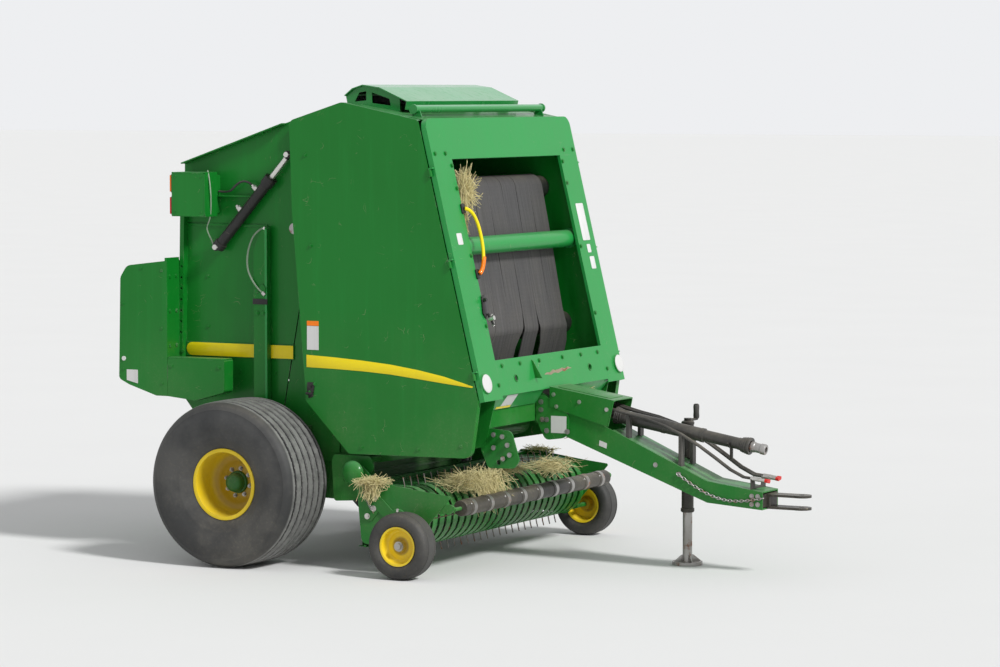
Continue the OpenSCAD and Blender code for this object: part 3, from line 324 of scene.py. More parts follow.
class Palette(Graph):
    """The nodes of one material round its Principled shader."""

    def __init__(self, name: str) -> None:
        """Makes the material.

        Args:
            name: Its name.
        """
        self.material = bpy.data.materials.new(name)
        self.material.use_nodes = True
        super().__init__(self.material.node_tree)
        self.shader = self.tree.nodes["Principled BSDF"]

    def effect(self, key: str, **values: float) -> bpy.types.bpy_prop_collection:
        """Places one of the shared effects with its own values and returns its outputs."""
        return self.node("Group", values, node_tree=EFFECTS[key]).outputs

    def blend(self, base: Socket | Colour, over: Colour, mask: Socket) -> Socket:
        """Lays a colour over another where a mask shows it.

        Args:
            base: The lower colour.
            over: The upper colour.
            mask: Where the upper one shows.

        Returns:
            The blended colour.
        """
        made = self.node("Mix", {0: mask}, data_type="RGBA")
        first, second = [s for s in made.inputs if s.type == "RGBA"][:2]
        if isinstance(base, tuple):
            first.default_value = (*base, 1)
        else:
            self.tree.links.new(base, first)
        second.default_value = (*over, 1)
        return [s for s in made.outputs if s.type == "RGBA"][0]

    def spread(self, mask: Socket, low: float, high: float) -> Socket:
        """Maps a 0..1 mask to low..high."""
        return self.node("MapRange", {"To Min": low, "To Max": high, "Value": mask}).outputs["Result"]

    def give(self, **values: float | Socket) -> None:
        """Sets or links the shader's inputs.

        Args:
            values: A number or socket each, named with _ for a space.
        """
        for key, value in values.items():
            target = self.shader.inputs[key.replace("_", " ")]
            if isinstance(value, (int, float)):
                target.default_value = value
            else:
                self.tree.links.new(value, target)

    def relief(self, height: Socket, strength: float, distance: float = 0.001) -> None:
        """Bumps the surface by a height, with the Bump node's strength and the depth in metres."""
        fill = {"Strength": strength, "Distance": distance, "Height": height}
        self.give(Normal=self.node("Bump", fill).outputs["Normal"])

    def grain(self, fine: float, wave: float, mix: float, strength: float, distance: float = 0.001) -> None:
        """Gives the surface the shared grain."""
        self.relief(self.effect("grain", Fine=fine, Wave=wave, Mix=mix)["Height"], strength, distance)


DUST: Colour = (0.42, 0.36, 0.25)
RUST: Colour = (0.22, 0.075, 0.03)
BARE_METAL: Colour = (0.30, 0.29, 0.27)
GREEN: Colour = (0.0035, 0.165, 0.014)
LEMON: Colour = (0.86, 0.62, 0.006)
PALE_LEMON: Colour = (0.78, 0.55, 0.010)


@dataclass(frozen=True)
class PaintFinish:
    """Sprayed paint on sheet metal, faded, dusty and worn at its edges, with a painted sky reflection paling the faces
    that look up.
    """

    name: str
    colour: Colour
    faded: Colour
    rough: float = 0.30
    coat: float = 0.25
    dust: float = 0.35
    wear: float = 0.5
    chaff: float = 0.6
    sky_reflection: float = 0.0
    reflected_sky: Colour = (0.13, 0.40, 0.20)
    axle: Flat | None = None
    deep: float = 0.0
    # Darker yellow: painted shade inside a wheel's rim.
    painted_rim_shade: Colour = (0.40, 0.26, 0.006)

    def build(self) -> Material:
        """Makes the material.

        Returns:
            The material.
        """
        p = Palette(self.name)
        streaks = p.effect("streaks", Amount=0.75)["Mask"]
        dust = p.effect("dust", Amount=self.dust)["Mask"]
        shade = p.blend(self.colour, self.faded, streaks)
        # Painted reflection of the sky, paling the faces that look up.
        if self.sky_reflection:
            shade = p.blend(shade, self.reflected_sky, p.effect("sky_reflection", Amount=self.sky_reflection)["Mask"])
        # Painted shade inside the rim, within the deep radius round the axle.
        if self.axle:
            ring = p.effect("ring", X=self.axle[0], Z=self.axle[1], Inner=self.deep, Fade=self.deep * 0.2)
            shade = p.blend(shade, self.painted_rim_shade, ring["Inside"])
        shade = p.blend(shade, BARE_METAL, p.effect("wear", Amount=self.wear)["Mask"])
        shade = p.blend(shade, DUST, p.plus(dust, p.effect("chaff", Amount=self.chaff)["Mask"], True))
        rough = p.spread(p.plus(dust, streaks, True), self.rough, min(self.rough + 0.35, 1))
        p.give(Base_Color=shade, Roughness=rough, Specular_IOR_Level=0.22, Coat_Weight=self.coat, Coat_Roughness=0.14)
        p.grain(420, 3.0, 3.0, 0.10, 0.0015)
        return p.material


@dataclass(frozen=True)
class RubberFinish:
    """Rubber of a hose or a guard, greyed by dust; on a tyre, paled beyond its crown's radius by dust and by a painted
    highlight on the tread.
    """

    name: str
    colour: Colour
    dust: float = 0.3
    rough: float = 0.5
    low: float = 0.2
    high: float = 1.8
    lift: Flat = (1.8, 0.02)
    axle: Flat | None = None
    crown: float = 0.0
    crown_dust_and_highlight: Colour = (0.20, 0.20, 0.19)

    def build(self) -> Material:
        """Makes the material.

        Returns:
            The material.
        """
        p = Palette(self.name)
        dust = p.effect("dust", Amount=self.dust, Low=self.low, High=self.high)
        shade = p.blend(self.colour, tuple(c * self.lift[0] + self.lift[1] for c in self.colour), dust["Clouds"])
        shade = p.blend(shade, DUST, dust["Mask"])
        if self.axle:
            ring = p.effect("ring", X=self.axle[0], Z=self.axle[1], Outer=self.crown)
            # The tread's crown is paled by dust and by a painted highlight.
            shade = p.blend(shade, self.crown_dust_and_highlight, ring["Crown"])
        p.give(Base_Color=shade, Roughness=p.spread(dust["Mask"], self.rough, 0.95))
        p.grain(520, 40, 0.5, 0.25)
        return p.material


@dataclass(frozen=True)
class BeltFinish:
    """Woven belt rubber with a fine diamond relief and pale scuffs along its run."""

    name: str
    colour: Colour

    def build(self) -> Material:
        """Makes the material.

        Returns:
            The material.
        """
        p = Palette(self.name)
        scuffs = p.texture("TexNoise", {"Scale": 1.0, "Detail": 5}, (3, 60, 3)).outputs["Fac"]
        shade = p.blend(self.colour, (0.085, 0.083, 0.084), scuffs)
        shade = p.blend(shade, DUST, p.effect("dust", Amount=0.22, Low=0.3, High=3.2)["Mask"])
        p.give(Base_Color=shade, Roughness=p.spread(scuffs, 0.75, 0.5))
        turns = ((0, 0, radians(45)), (radians(45), 0, 0))
        weave = [p.texture("TexWave", {"Scale": 60}, turn=turn).outputs["Fac"] for turn in turns]
        p.relief(p.plus(*weave, True), 0.35, 0.0015)
        return p.material


@dataclass(frozen=True)
class MetalFinish:
    """Bare or plated metal with some rust."""

    name: str
    colour: Colour
    rough: float = 0.35
    rust: float = 0.3
    metallic: float = 0.9
    dust: float = 0.3

    def build(self) -> Material:
        """Makes the material.

        Returns:
            The material.
        """
        p = Palette(self.name)
        rust = p.effect("rust", Amount=self.rust, Scale=14)["Mask"]
        dust = p.effect("dust", Amount=self.dust)
        shade = p.blend(self.colour, tuple(c * 0.6 for c in self.colour), dust["Clouds"])
        shade = p.blend(p.blend(shade, RUST, rust), DUST, dust["Mask"])
        metallic = p.spread(p.plus(rust, dust["Mask"], True), self.metallic, 0.1)
        p.give(Base_Color=shade, Metallic=metallic, Roughness=p.spread(rust, self.rough, 0.85))
        p.grain(260, 24, 0.6, 0.15)
        return p.material


@dataclass(frozen=True)
class LensFinish:
    """Coloured lamp plastic with a faint ribbing under its gloss."""

    name: str
    colour: Colour

    def build(self) -> Material:
        """Makes the material.

        Returns:
            The material.
        """
        p = Palette(self.name)
        dust = p.effect("dust", Amount=0.10, Low=1.0, High=3.0)
        shade = p.blend(self.colour, tuple(min(c * 1.2 + 0.004, 1) for c in self.colour), dust["Clouds"])
        shade = p.blend(shade, DUST, dust["Mask"])
        p.give(Base_Color=shade, Roughness=0.30, Specular_IOR_Level=0.2, Coat_Weight=0.12)
        p.relief(p.texture("TexWave", {"Scale": 40}, bands_direction="Y").outputs["Fac"], 0.3)
        return p.material


@dataclass(frozen=True)
class HayFinish:
    """Dry hay, from pale straw to a greener stalk."""

    name: str
    colour: Colour
    second: Colour

    def build(self) -> Material:
        """Makes the material.

        Returns:
            The material.
        """
        p = Palette(self.name)
        stalks = p.texture("TexNoise", {"Scale": 38, "Detail": 3}).outputs["Fac"]
        p.give(Base_Color=p.blend(self.colour, self.second, stalks), Roughness=0.8)
        p.grain(600, 90, 0.5, 0.4)
        return p.material


MAIN_AXLE = (AXLE_X, AXLE_Z)
GAUGE_AXLE = (GAUGE_X + AXLE_X, GAUGE_Z)
TYRE = {"rough": 0.62, "low": 0.0, "high": 1.3, "lift": (1.6, 0.012)}
FINISHES = {
    finish.name: finish.build()
    for finish in (
        # Greens with a sky reflection value get a painted reflection of the sky on their upward faces.
        PaintFinish("green_paint", GREEN, (0.008, 0.20, 0.024), coat=0.15, dust=0.24, sky_reflection=0.30),
        # A lighter copy of the green paint: painted light for the sunlit front face, its header, columns, cross panel
        # and cross tube.
        PaintFinish("painted_sunlit_green", (0.014, 0.27, 0.050), (0.024, 0.31, 0.070), dust=0.18, sky_reflection=0.2),
        # The roof green is a lighter copy of the green with a strong painted sky reflection: painted light for the
        # lid's pale top.
        PaintFinish("roof_green_paint", (0.012, 0.24, 0.042), (0.020, 0.28, 0.060), 0.24, 0.5, 0.15, sky_reflection=0.95),
        # A darker copy of the green paint: painted shade for parts that sit in shade under and inside the machine.
        PaintFinish("painted_shade_green", (0.006, 0.105, 0.014), (0.012, 0.14, 0.024), 0.45, 0.15, 0.3),
        PaintFinish("wheel_yellow_paint", LEMON, PALE_LEMON, 0.33, dust=0.22, chaff=0.2, axle=MAIN_AXLE, deep=0.208),
        PaintFinish("gauge_yellow_paint", LEMON, PALE_LEMON, 0.33, dust=0.22, chaff=0.2, axle=GAUGE_AXLE, deep=0.062),
        PaintFinish("stripe_yellow", (0.90, 0.71, 0.006), (0.84, 0.65, 0.01), dust=0.12, wear=0.0, chaff=0.2),
        PaintFinish("black_paint", (0.014, 0.014, 0.014), (0.035, 0.034, 0.032), 0.38, dust=0.3),
        PaintFinish("white_plate", (0.70, 0.70, 0.69), (0.60, 0.60, 0.58), 0.4, 0.1, 0.2, 0.0),
        RubberFinish("tyre_rubber", (0.020, 0.0215, 0.023), 0.24, axle=MAIN_AXLE, crown=0.5095, **TYRE),
        RubberFinish("gauge_rubber", (0.014, 0.015, 0.016), 0.16, axle=GAUGE_AXLE, crown=0.2030,
                     crown_dust_and_highlight=(0.075, 0.075, 0.072), **TYRE),
        RubberFinish("hose_rubber", (0.018, 0.018, 0.018)),
        RubberFinish("guard_plastic", (0.016, 0.016, 0.016), 0.28, 0.36),
        RubberFinish("pale_hose", (0.20, 0.27, 0.19)),
        BeltFinish("belt_rubber", (0.028, 0.027, 0.029)),
        MetalFinish("worn_steel", (0.42, 0.41, 0.40), 0.38, 0.5),
        MetalFinish("tine_steel", (0.19, 0.18, 0.165), 0.5, 0.6),
        MetalFinish("plated_bolt", (0.66, 0.65, 0.62), 0.28, 0.15),
        MetalFinish("scraped_steel", (0.44, 0.36, 0.25), 0.6, 0.62, 0.25, 0.8),
        MetalFinish("oiled_chain", (0.13, 0.12, 0.105), 0.32, 0.35, 0.85, 0.25),
        LensFinish("amber_lens", (0.95, 0.19, 0.002)),
        LensFinish("red_lens", (0.58, 0.008, 0.006)),
        HayFinish("dry_hay", (0.76, 0.66, 0.38), (0.56, 0.50, 0.22)),
    )
}
NODE_FINISHES = {
    # Parts under the body and the hubs take the darker green as painted shade.
    "painted_shade_green": "axle_beam gate_cross_members hub_left hub_right",
    "wheel_yellow_paint": "wheel_left wheel_right",
    "gauge_yellow_paint": "gauge_rim_left gauge_rim_right",
    "black_paint": "front_rollers hitch gearbox jack_tube chain_drive gate_rollers tension_cylinders lift_barrel_left "
    "lift_barrel_right compressor_roller",
    "hose_rubber": "hoses",
    "guard_plastic": "drive_shaft",
    "worn_steel": "jack_leg tine_reel lift_rod_left lift_rod_right",
    # The front face's parts take the lighter green as painted light.
    "painted_sunlit_green": "front_columns front_header lower_cross_panel cross_tube",
    "roof_green_paint": "roof_lid",
    "tyre_rubber": "tyre_left tyre_right",
    "gauge_rubber": "gauge_tyre_left gauge_tyre_right",
    "belt_rubber": "front_belts gate_belts",
    "amber_lens": "amber_lenses",
    "red_lens": "red_lenses",
}


def dress_construction() -> None:
    """Gives every construction node its finish; green paint where no other is named."""
    chosen = {node: name for name, nodes in NODE_FINISHES.items() for node in nodes.split()}
    for name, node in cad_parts.items():
        node.data.materials.clear()
        node.data.materials.append(FINISHES[chosen.get(name, "green_paint")])
    log.info("construction dressed, %d nodes", len(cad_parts))


# Workbench; all sizes are in metres, except in tables, which are in millimetres


def mm(table: str) -> list[tuple[float, ...]]:
    """Reads a table of points in millimetres, parted by commas."""
    return [tuple(float(value) / 1000 for value in row.split()) for row in table.split(",")]


def rect(x1: float, z1: float, x2: float, z2: float) -> list[Flat]:
    """The corners of an upright rectangle, given in millimetres."""
    return [(x / 1000, z / 1000) for x, z in ((x1, z1), (x2, z1), (x2, z2), (x1, z2))]


def arc(x: float, z: float, radius: float, first: float, last: float, steps: int = 8) -> list[Flat]:
    """Points along an arc between two angles in degrees."""
    turns = [radians(first + (last - first) * k / steps) for k in range(steps + 1)]
    return [(x + radius * cos(t), z + radius * sin(t)) for t in turns]


def at(x: float, y: float, z: float) -> Matrix:
    """A plain shift."""
    return Matrix.Translation((x, y, z))


def turn_by(degrees: float, axis: str) -> Matrix:
    """A turn round an axis."""
    return Matrix.Rotation(radians(degrees), 4, axis)


def turned_to(direction: Point) -> Matrix:
    """The turn that takes Z to a direction."""
    return Vector(direction).to_track_quat("Z", "Y").to_matrix().to_4x4()


def from_axle(x: float, y: float, z: float) -> Point:
    """A point whose X is counted from the axle."""
    return (x + AXLE_X, y, z)


def finer(points: list[Point]) -> list[Point]:
    """The points with one more between each two, for short tubes.

    Args:
        points: The points of a line.

    Returns:
        The longer list.
    """
    rows: list[Point] = []
    for a, b in zip(points, points[1:]):
        rows += [a, tuple((p + q) / 2 for p, q in zip(a, b))]
    return rows + [points[-1]]


def choose(objs: list[Thing]) -> None:
    """Selects some objects and nothing else, the first one active, in object mode.

    Args:
        objs: The objects, the one to be active first.
    """
    if bpy.context.mode != "OBJECT":
        bpy.ops.object.mode_set(mode="OBJECT")
    bpy.ops.object.select_all(action="DESELECT")
    for obj in objs:
        obj.select_set(True)
    if objs:
        bpy.context.view_layer.objects.active = objs[0]


def settled() -> Thing:
    """Applies the new object's place to its mesh, so that it is at the origin.

    Returns:
        The object.
    """
    obj = bpy.context.object
    choose([obj])
    bpy.ops.object.transform_apply(location=True, rotation=True, scale=True)
    return obj


@contextmanager
def editing(action: str = "SELECT") -> Iterator[None]:
    """Edit mode on the active object, everything selected or nothing.

    Args:
        action: SELECT or DESELECT.

    Returns:
        The context, which ends in object mode.
    """
    bpy.ops.object.mode_set(mode="EDIT")
    bpy.ops.mesh.select_all(action=action)
    yield
    bpy.ops.object.mode_set(mode="OBJECT")


def join(objs: list[Thing]) -> Thing:
    """Joins parts into the first one's mesh.

    Args:
        objs: The parts.

    Returns:
        The first part.
    """
    choose(objs)
    if len(objs) > 1:
        bpy.ops.object.join()
    return objs[0]


def piece(
    name: str, parts: Thing | list[Thing], finish: str, body: str, smooth: float | None = 30, instead: str | None = None
) -> None:
    """Joins parts into a finished piece on its body.

    Args:
        name: The piece's name.
        parts: What it is made of, with their places in their meshes.
        finish: A key of FINISHES.
        body: The body it rides on.
        smooth: The angle under which edges are shaded smooth, in degrees.
        instead: The construction node that it replaces.
    """
    obj = join(parts if isinstance(parts, list) else [parts])
    obj.name = obj.data.name = name
    obj.data.materials.clear()
    obj.data.materials.append(FINISHES[finish])
    if smooth is not None:
        choose([obj])
        bpy.ops.object.shade_smooth_by_angle(angle=radians(smooth))
    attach(obj, body)
    if instead:
        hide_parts(instead)
    log.info("%s: %d faces on %s", obj.name, len(obj.data.polygons), body)


def block(low: Point, high: Point, round_by: float, segments: int = 2) -> Thing:
    """A block with rounded edges.

    Args:
        low: The corner with the lowest X, Y and Z.
        high: The opposite corner.
        round_by: Radius of its edges.
        segments: Steps of the rounding.

    Returns:
        The block.
    """
    choose([])
    middle = [(a + b) / 2 for a, b in zip(low, high)]
    bpy.ops.mesh.primitive_cube_add(size=1, location=middle, scale=[b - a for a, b in zip(low, high)])
    obj = settled()
    with editing():
        bpy.ops.mesh.bevel(offset=round_by, segments=segments, affect="EDGES")
    return obj


def rod(start: Point, end: Point, radius: float, sides: int = 16, taper: float = 1.0) -> Thing:
    """A round bar between two points, with its end edges broken.

    Args:
        start: One end's middle.
        end: The other end's middle.
        radius: The radius at the start.
        sides: Faces round it.
        taper: The end's radius over the start's.

    Returns:
        The bar.
    """
    choose([])
    a, b = Vector(start), Vector(end)
    bpy.ops.mesh.primitive_cone_add(vertices=sides, radius1=radius, radius2=radius * taper, depth=(b - a).length,
                                    location=(a + b) / 2, rotation=(b - a).to_track_quat("Z", "Y").to_euler())
    obj = settled()
    with editing("DESELECT"):
        pass
    for face in obj.data.polygons:
        face.select = len(face.vertices) > 4
    bpy.ops.object.mode_set(mode="EDIT")
    bpy.ops.mesh.inset(thickness=radius * 0.18 * min(taper, 1), depth=radius * 0.12)
    bpy.ops.object.mode_set(mode="OBJECT")
    return obj


def outline_plate(outline: list[Flat], start: float, thick: float, axis: str = "Y", edge: float = 0.0) -> Thing:
    """A plate cut to an outline.

    Args:
        outline: Its corners; in X and Z for axis Y, in Y and Z for axis X, in X and Y for axis Z.
        start: Where the plate starts along the axis.
        thick: Its thickness along the axis, which may be negative.
        axis: The axis the plate is thick along.
        edge: Width of the bevel on its edges.

    Returns:
        The plate.
    """
    choose([])
    bpy.ops.mesh.primitive_circle_add(vertices=len(outline), radius=1, fill_type="NGON")
    obj = settled()
    k = "XYZ".index(axis)
    for vertex, point in zip(obj.data.vertices, outline):
        vertex.co = (*point[:k], start, *point[k:])
    with editing():
        bpy.ops.mesh.extrude_region_move(TRANSFORM_OT_translate={"value": [thick * (i == k) for i in range(3)]})
        bpy.ops.mesh.select_all(action="SELECT")
        if edge > 0:
            bpy.ops.mesh.bevel(offset=edge, segments=2, affect="EDGES")
        bpy.ops.mesh.normals_make_consistent(inside=False)
    return obj


def turned(profile: list[Flat], centre: Point = (0, 0, 0), steps: int = 32) -> Thing:
    """A ring or disc spun round an axis along Y.

    Args:
        profile: Its closed outline, in rows of (y, radius), y from the centre.
        centre: The middle of the axis.
        steps: Faces round it.

    Returns:
        The turned piece.
    """
    choose([])
    bpy.ops.mesh.primitive_circle_add(vertices=len(profile), radius=1, fill_type="NOTHING")
    obj = settled()
    for vertex, (y, radius) in zip(obj.data.vertices, profile):
        vertex.co = (centre[0], centre[1] + y, centre[2] + radius)
    with editing():
        bpy.ops.mesh.select_mode(type="VERT")
        bpy.ops.mesh.select_all(action="SELECT")
        bpy.ops.mesh.spin(steps=steps, angle=tau, center=centre, axis=(0, 1, 0))
        bpy.ops.mesh.select_all(action="SELECT")
        bpy.ops.mesh.remove_doubles(threshold=0.0002)
        bpy.ops.mesh.normals_make_consistent(inside=False)
    return obj


def moved(obj: Thing, place: Matrix) -> Thing:
    """The object with its mesh moved by a matrix."""
    obj.data.transform(place)
    return obj


def repeat(obj: Thing, places: list[Matrix]) -> Thing:
    """Copies a part, modelled at the origin, to each place and joins the copies.

    Args:
        obj: The part, which is removed.
        places: A matrix for each copy.

    Returns:
        The joined copies.
    """
    copies = []
    for place in places:
        copies.append(moved(bpy.data.objects.new("copy", obj.data.copy()), place))
        bpy.context.scene.collection.objects.link(copies[-1])
    bpy.data.objects.remove(obj)
    return join(copies)


def smooth_line(points: list[Point], radius: float, sides: int = 10, resolution: int = 6) -> Thing:
    """A bent tube along points, as a mesh with closed ends.

    Args:
        points: The points it passes, five or more.
        radius: Its radius.
        sides: Faces round it.
        resolution: Rings between two points.

    Returns:
        The tube.
    """
    choose([])
    bpy.ops.curve.primitive_nurbs_path_add()
    curve = bpy.context.object.data
    spline = curve.splines[0]
    while len(spline.points) < len(points):
        spline.points.add(1)
    for item, point in zip(spline.points, points):
        item.co = (*point, 1)
    spline.order_u = min(4, len(points))
    spline.use_endpoint_u = True
    spline.resolution_u = resolution
    curve.bevel_depth = radius
    curve.bevel_resolution = max(sides // 4 - 1, 1)
    curve.use_fill_caps = True
    bpy.ops.object.convert(target="MESH")
    return settled()


def bolts_on(places: list[Point], direction: Point, radius: float = 0.011, height: float = 0.008) -> Thing:
    """Bolt heads on their washers, all facing one way.

    Args:
        places: Where they stand.
        direction: Where they face.
        radius: A head's radius.
        height: A head's height.

    Returns:
        The bolts.
    """
    washer = rod((0, 0, 0), (0, 0, height * 0.3), radius * 1.5)
    head = rod((0, 0, height * 0.2), (0, 0, height), radius, 6)
    turn = turned_to(direction)
    return repeat(join([washer, head]), [at(*p) @ turn for p in places])


@dataclass
class OneSide:
    """What sits on one side of the machine; its pieces' names end in the side's word."""

    side: Side

    @property
    def out(self) -> int:
        """Sign of the side's Y."""
        return self.side.value

    @property
    def word(self) -> str:
        """The side's name as the nodes have it."""
        return self.side.name.lower()

    def spot(self, x: float, y: float, z: float) -> Point:
        """A point of this side, X counted from the axle and Y outwards."""
        return (x + AXLE_X, self.out * y, z)

    def spots(self, table: str, y: float) -> list[Point]:
        """Points of this side at one Y, from a table of X and Z."""
        return [self.spot(x, y, z) for x, z in mm(table)]

    def rod(self, start: Point, end: Point, radius: float, sides: int = 16) -> Thing:
        """A round bar between two points of this side."""
        return rod(self.spot(*start), self.spot(*end), radius, sides)

    def block(self, start: Point, end: Point, round_by: float, segments: int = 2) -> Thing:
        """A rounded block between two points of this side."""
        a, b = self.spot(*start), self.spot(*end)
        return block(tuple(map(min, a, b)), tuple(map(max, a, b)), round_by, segments)

    def line(self, table: str, radius: float, sides: int) -> Thing:
        """A bent tube along a table's points of this side."""
        return smooth_line([self.spot(*p) for p in mm(table)], radius, sides)

    def plate(self, outline: str | list[Flat], y: float, thick: float, edge: float = 0.0) -> Thing:
        """A plate from y outwards, its outline in X from the axle and Z."""
        rows = mm(outline) if isinstance(outline, str) else outline
        return outline_plate([(x + AXLE_X, z) for x, z in rows], self.out * y, self.out * thick, "Y", edge)

    def bolts(self, places: list[Point], radius: float = 0.011, height: float = 0.008) -> Thing:
        """Bolt heads that face outwards."""
        return bolts_on(places, (0, self.out, 0), radius, height)

    def piece(
        self, name: str, parts: Thing | list[Thing], finish: str, body: str, smooth: float | None = 30,
        instead: str | None = None
    ) -> None:
        """Finishes a piece of this side, as piece() does."""
        piece(f"{name}_{self.word}", parts, finish, body, smooth, instead and f"{instead}_{self.word}")


# Wheels


@dataclass
class MainWheel(OneSide):
    """One main wheel: ribbed tyre, deep rim with its bolts, and the domed hub."""

    centre_y: float = 1.120
    radius: float = AXLE_Z
    grooves: tuple[float, ...] = (-0.170, -0.102, -0.034, 0.034, 0.102, 0.170)
    groove_half: float = 0.0145
    groove_depth: float = 0.018
    bolt_circle: float = 0.088
    bolt_count: int = 8
    teeth: int = 90

    @property
    def centre(self) -> Point:
        """The wheel's middle."""
        return self.spot(0.0, self.centre_y, self.radius)

    def crown(self, place: float) -> float:
        """The tread's radius at a place across it."""
        return self.radius - 0.006 * (abs(place) / 0.2) ** 2

    def tyre(self) -> Thing:
        """The tyre's ring with its wide grooves.

        Returns:
            The ring.
        """
        wall = mm("174 206, 180 222, 206 246, 212 262, 236 290, 240 300, 252 345, 255.5 352, 259.5 395, 259 415, "
                  "254.5 440, 246.5 462, 247.5 468, 238 486, 226 498, 208 508.5, 198 512.5")
        tread: list[Flat] = []
        for place in reversed(self.grooves):
            top, half = self.crown(place), self.groove_half
            low = top - self.groove_depth
            tread += [(place + half, top), (place + half * 0.55, low), (place - half * 0.55, low), (place - half, top)]
        return turned(wall + tread + [(-y, r) for y, r in reversed(wall)], self.centre, 120)

    def groove_teeth(self) -> Thing:
        """Short teeth at the feet of the ribs, by turns on both sides of each groove.

        Returns:
            The teeth.
        """
        tooth = block((-0.006, -0.003, -0.015), (0.006, 0.003, -0.0012), 0.001, 1)
        places = []
        for number, place in enumerate(self.grooves):
            for k in range(self.teeth):
                shift = (1 if k % 2 else -1) * self.groove_half * 0.72
                turn = Matrix.Rotation(tau * (k + 0.5 * (number % 2)) / self.teeth, 4, "Y")
                places.append(at(*self.centre) @ turn @ at(0, place + shift, self.crown(place)))
        return repeat(tooth, places)

    def bolts_and_valve(self) -> list[Thing]:
        """The wheel bolts in their ring, and the valve.

        Returns:
            The parts.
        """
        out, (x, y, z) = self.out, self.centre
        rows = ((0.0, 0.003, 0.0125, 16), (0.002, 0.013, 0.0098, 6), (0.010, 0.020, 0.0055, 10))
        bolt = join([rod((0, out * a, 0), (0, out * b, 0), radius, sides) for a, b, radius, sides in rows])
        turns = [Matrix.Rotation(tau * (k + 0.3) / self.bolt_count, 4, "Y") for k in range(self.bolt_count)]
        ring = repeat(bolt, [at(x, y, z) @ turn @ at(0, out * 0.016, self.bolt_circle) for turn in turns])
        return [ring, rod((x + 0.150, y + out * 0.012, z), (x + 0.152, y + out * 0.052, z), 0.006, 10, 0.8)]

    def build(self) -> None:
        """Builds the tyre, the rim, the hub and the bolts."""
        body = f"wheel_{self.word}"
        self.piece("ribbed_tyre", [self.tyre(), self.groove_teeth()], "tyre_rubber", body, 35, "tyre")
        rim = mm("178 205.5, 179.5 221.5, 184 224.5, 189.5 223.2, 191.5 212, 190 201, 170 196.5, 56 196, 36 190, "
                 "18 172, 10 150, 10 126, 16 116, 16 70, 6 70, 6 112, 0 122, 0 154, 8 178, 26 197.5, -170 197.5, "
                 "-190 201, -191.5 212, -189.5 223.2, -184 224.5, -179.5 221.5, -178 205.5")
        hub = mm("-120 30.5, -120 66, -116 70, 28 70, 34 67, 36 60, 70 58, 82 52, 90 38, 94.5 18, 95 0.4, 85 0.4, "
                 "60 30.5")
        for name, rows, steps, finish, node in (("dished_rim", rim, 80, "wheel_yellow_paint", "wheel"),
                                                # The hub takes the darker green as painted shade.
                                                ("domed_hub", hub, 48, "painted_shade_green", "hub")):
            self.piece(name, turned([(self.out * y, r) for y, r in rows], self.centre, steps), finish, body, 40, node)
        self.piece("wheel_bolts", self.bolts_and_valve(), "worn_steel", body)


@dataclass
class GaugeWheel(OneSide):
    """One gauge wheel under the pickup's end: plain round tyre, yellow disc and silver axle bolt."""

    centre_y: float = 1.250

    def build(self) -> None:
        """Builds the tyre, the rim and the axle bolt."""
        centre, body = self.spot(GAUGE_X, self.centre_y, GAUGE_Z), f"gauge_wheel_{self.word}"
        half = mm("58 115.5, 62 126, 75.5 138, 80.5 150, 82 166, 79 181, 70 194, 56 201.5, 44 204, 40 200, 34 200, "
                  "30 204.8, 5 205")
        tyre = turned(half + [(-y, radius) for y, radius in reversed(half)], centre, 64)
        self.piece("gauge_tyre_ring", tyre, "gauge_rubber", body, 40, "gauge_tyre")
        disc = mm("65.5 121.5, 66 116, 64 109, 30 106, 18 98, 13 86, 17 74, 18 48, 25 40, 40 37, 42 16, -30 16, "
                  "-30 36, 8 44, 8 98, -64 109, -66 121.5, -60 115, 60 115")
        rim = turned([(self.out * y, r) for y, r in disc], centre, 56)
        self.piece("gauge_disc", rim, "gauge_yellow_paint", body, 40, "gauge_rim")
        y = self.centre_y
        rows = ((0.040, 0.062, 0.0185, 6), (0.036, 0.044, 0.027, 24))
        bolt = [self.rod((GAUGE_X, y + a, GAUGE_Z), (GAUGE_X, y + b, GAUGE_Z), *size) for a, b, *size in rows]
        self.piece("gauge_axle_bolt", bolt, "plated_bolt", body)


# Pickup


